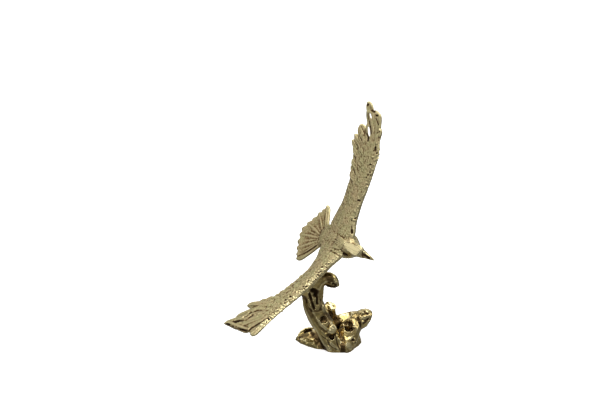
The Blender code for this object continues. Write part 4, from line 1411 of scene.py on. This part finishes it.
# %% Facets and specks, and plain grooves on the hidden side
STUMP_FACETS = (  # middle, the way it faces, radius
    ((2.8, 17, 52.2), (0.12, -0.47, 0.87), 16),
    ((20, 6.5, 33.6), (0.10, -0.38, 0.92), 12),
)
SPECKLED = (  # middle, radius and number of the dents
    ((7.5, -11, 95), 6, 26),
    ((50, -2, 39), 8, 30),
    ((30, -26, 13), 8, 14),
    ((25, -15, 28), 11, 22),
)
SPECK_RADIUS = (0.8, 1.7)
SPECK_DEPTH = (0.1, 0.3)
SPECK_COLOUR = (0.5, 1)
SPECK_PITS = 0.4
BACK_GROOVES = {  # where each groove lies, seen from the limb's middle line
    "trunk": ((0.9, 0.45, 0), (0.55, 0.85, 0), (0.1, 1, 0), (-0.4, 0.9, 0), (-0.85, 0.5, 0)),
    "back stub": ((1, 0.2, 0), (0.5, 0.9, 0), (-0.4, 0.9, 0), (-0.95, 0.3, 0)),
    "right mass": ((-0.45, 0.85, 0.2), (-0.3, 0.55, 0.8), (-0.4, 0.75, -0.45)),
    "left root": ((0.5, 0.85, 0.1), (0.35, 0.5, 0.8)),
    "hook": ((0, 1, 0.3), (-0.1, 0.9, -0.4), (0, 0.6, 0.8)),
}
GROOVE_HALF, GROOVE_DEPTH, GROOVE_STAIN = 2.6, 0.6, 0.5
GROOVE_SWAY = 1.6
DEPTH_PLAY = (0.6, 1.3)
STUMP_GRAINS = ((0.0060, 0.00026), (0.0022, 0.00012))


def groove_back(skin, name, play):
    """Plain grooves of bark along the side of a limb that the photograph doesn't show."""
    for direction in BACK_GROOVES[name]:
        path = []
        for x, y, z, half in LIMBS[name][1:]:
            sway = vary(play, GROOVE_SWAY)
            out = Vector(direction).normalized() * half * STUMP_WIDTH / 100
            path.append(stump_point(x + sway, y + sway, z) + out)
        depth = GROOVE_DEPTH * play.uniform(*DEPTH_PLAY)
        skin.stroke(path, GROOVE_HALF * STUMP_UNIT, depth / 1000, dirt_and_shade=GROOVE_STAIN)


def speckle(skin, centre, radius, count, play):
    """Small dents and beads scattered around one place of the stump: the dents are stained, and the beads are
    polished and painted lighter as glints.
    """
    away = np.linalg.norm(skin.points - np.array(stump_point(*centre)), axis=1)
    for choice in play.choices(np.flatnonzero(away < radius * STUMP_UNIT), k=count):
        pit = play.random() < SPECK_PITS
        depth = play.uniform(*SPECK_DEPTH) / 1000 * (1 if pit else -1)
        colour = play.uniform(*SPECK_COLOUR)
        dirt_and_shade, polish_and_highlight = (colour, 0) if pit else (0, colour)
        skin.stroke([skin.points[choice]], play.uniform(*SPECK_RADIUS) * STUMP_UNIT, depth, dirt_and_shade, polish_and_highlight)


for centre, facing, radius in STUMP_FACETS:
    skin.flatten(stump_point(*centre), facing, radius * STUMP_UNIT)
skin.draw(STUMP_POLISH_AND_HIGHLIGHTS, stump_point, STUMP_UNIT, bright_marks=True)
skin.draw(STUMP_MARKS, stump_point, STUMP_UNIT)
for name in BACK_GROOVES:
    groove_back(skin, name, play)
for centre, radius, count in SPECKLED:
    speckle(skin, centre, radius, count, play)
skin.write()
for size, depth in STUMP_GRAINS:
    grain(stump, size, depth)
print(sum(count for *_, count in SPECKLED), "specks")


# %% Seat and underside, filed flat
def file_flat(thing, point, normal):
    """Cuts off what stands beyond a plane and closes the cut."""
    activate(thing)
    edit_all()
    bpy.ops.mesh.bisect(plane_co=point, plane_no=normal, clear_outer=True, use_fill=True)
    bpy.ops.object.mode_set(mode="OBJECT")


file_flat(stump, (0, 0, 0), (0, 0, -1))
file_flat(stump, stump_seat, falcon_turn @ SEAT_LEAN @ Vector((0, 0, 1)))
thin_out(stump)

# %% Polish and painted highlight, dirt and painted shade on the stump
UNDER_FROM_LEVEL = 0.1
STUMP_RAISED_POLISH_AND_HIGHLIGHT = 0.8
PIT_SHARE, WIDE_SHADE_SHARE, UNDERSIDE_SHADE_SHARE = 0.8, 0.3, 0.3
skin = Skin(stump)
dark_marks, bright_marks = take_number(stump, "dark_marks"), take_number(stump, "bright_marks")
_, wide_hollow, raised = relief(skin)
# Painted shade: faces that turn downwards and wide hollows are darkened, on top of the dirt in pits; raised
# points get polish and a painted highlight.
underside_shade = np.clip(-skin.normals[:, 2] - UNDER_FROM_LEVEL, 0, 1)
keep_finish(stump, bright_marks + raised * STUMP_RAISED_POLISH_AND_HIGHLIGHT,
            dark_marks * PIT_SHARE + wide_hollow * WIDE_SHADE_SHARE + underside_shade * UNDERSIDE_SHADE_SHARE)

# %% [markdown]
# ## Brass
# Brass is a metal, so its colour is the colour of its reflections. Both castings share one recipe: a noise
# drifts between olive and rosy brass, and rub, which is polish and painted highlight, makes it lighter and
# smoother. Stain, which is dirt and painted shade, pulls the colour towards brown first, and where it is
# strong towards black. The falcon is satin with a stippled bump, the stump is glossy with a soft one.

# %% Brass material
DRIFT_SIZE = 0.006
DRIFT_DETAIL, STIPPLE_DETAIL = 3, 2
DRIFT_RANGE = (0.35, 0.65)
BROWN_RANGE = (0.10, 0.50)
BLACK_DIRT_AND_SHADE_RANGE = (0.45, 0.90)
MIX_SOCKETS = {"RGBA": (6, 7, 2), "FLOAT": (2, 3, 0)}  # of a Mix node: its two inputs and its result


def mix(tree, kind, share, first, second):
    """Mixes two colours or numbers, each a value or a socket, by a socket."""
    node = add_node(tree, "ShaderNodeMix", data_type=kind)
    *inputs, result = MIX_SOCKETS[kind]
    for i, value in zip((0, *inputs), (share, first, second)):
        plug(node.inputs[i], value)
    return node.outputs[result]


def noise_field(tree, size, detail):
    node = add_node(tree, "ShaderNodeTexNoise")
    place = add_node(tree, "ShaderNodeTexCoord").outputs["Object"]
    feed(node, vector=place, scale=1 / size, detail=detail)
    return node.outputs["Fac"]


def brass(name, colours, roughness, stipple, stipple_depth):
    """Roughness is for plain, rubbed and stained metal; stipple is the size of the fine bump."""
    material = bpy.data.materials.new(name)
    material.use_nodes = True
    tree = material.node_tree
    olive, rosy, bright, brown, black_of_dirt_and_shade = ((*colour, 1) for colour in colours)
    polish_and_highlight, dirt_and_shade = (add_node(tree, "ShaderNodeAttribute", attribute_name=kept).outputs["Fac"]
                  for kept in ("polish_and_highlight", "dirt_and_shade"))
    drift = remap(tree, noise_field(tree, DRIFT_SIZE, DRIFT_DETAIL), *DRIFT_RANGE)
    colour = mix(tree, "RGBA", drift, olive, rosy)
    colour = mix(tree, "RGBA", polish_and_highlight, colour, bright)
    colour = mix(tree, "RGBA", remap(tree, dirt_and_shade, *BROWN_RANGE), colour, brown)
    colour = mix(tree, "RGBA", remap(tree, dirt_and_shade, *BLACK_DIRT_AND_SHADE_RANGE), colour, black_of_dirt_and_shade)
    plain, rubbed, stained = roughness
    gloss = mix(tree, "FLOAT", dirt_and_shade, mix(tree, "FLOAT", polish_and_highlight, plain, rubbed), stained)
    bump = add_node(tree, "ShaderNodeBump")
    feed(bump, strength=1, distance=stipple_depth, height=noise_field(tree, stipple, STIPPLE_DETAIL))
    feed(tree.nodes["Principled BSDF"], metallic=1, base_color=colour, roughness=gloss,
         normal=bump.outputs["Normal"])
    return material


# Olive, rosy, rubbed brass that is also the painted highlight colour, then brown and black for dirt and
# painted shade
SATIN = ((0.46, 0.42, 0.21), (0.49, 0.385, 0.21), (0.82, 0.71, 0.40), (0.24, 0.155, 0.07),
         (0.035, 0.02, 0.01))
POLISHED = ((0.60, 0.47, 0.18), (0.51, 0.37, 0.14), (0.83, 0.71, 0.39), (0.17, 0.11, 0.045),
            (0.03, 0.016, 0.006))
SATIN_GLOSS, POLISHED_GLOSS = (0.40, 0.20, 0.50), (0.14, 0.10, 0.30)
SATIN_STIPPLE, POLISHED_STIPPLE = (0.0012, 0.00012), (0.0020, 0.00003)  # size, depth
for casting, material in (
    (falcon, brass("satin_brass", SATIN, SATIN_GLOSS, *SATIN_STIPPLE)),
    (stump, brass("polished_brass", POLISHED, POLISHED_GLOSS, *POLISHED_STIPPLE)),
):
    casting.data.materials.clear()
    casting.data.materials.append(material)
    print(casting.name, "is finished in", material.name)

# %% Hand the castings over
for casting, node, slot in ((falcon, "falcon", "satin_brass"), (stump, "tree_stump", "polished_brass")):
    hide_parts(node)
    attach(casting, "root")
    print(casting.name, len(casting.data.polygons), "faces")
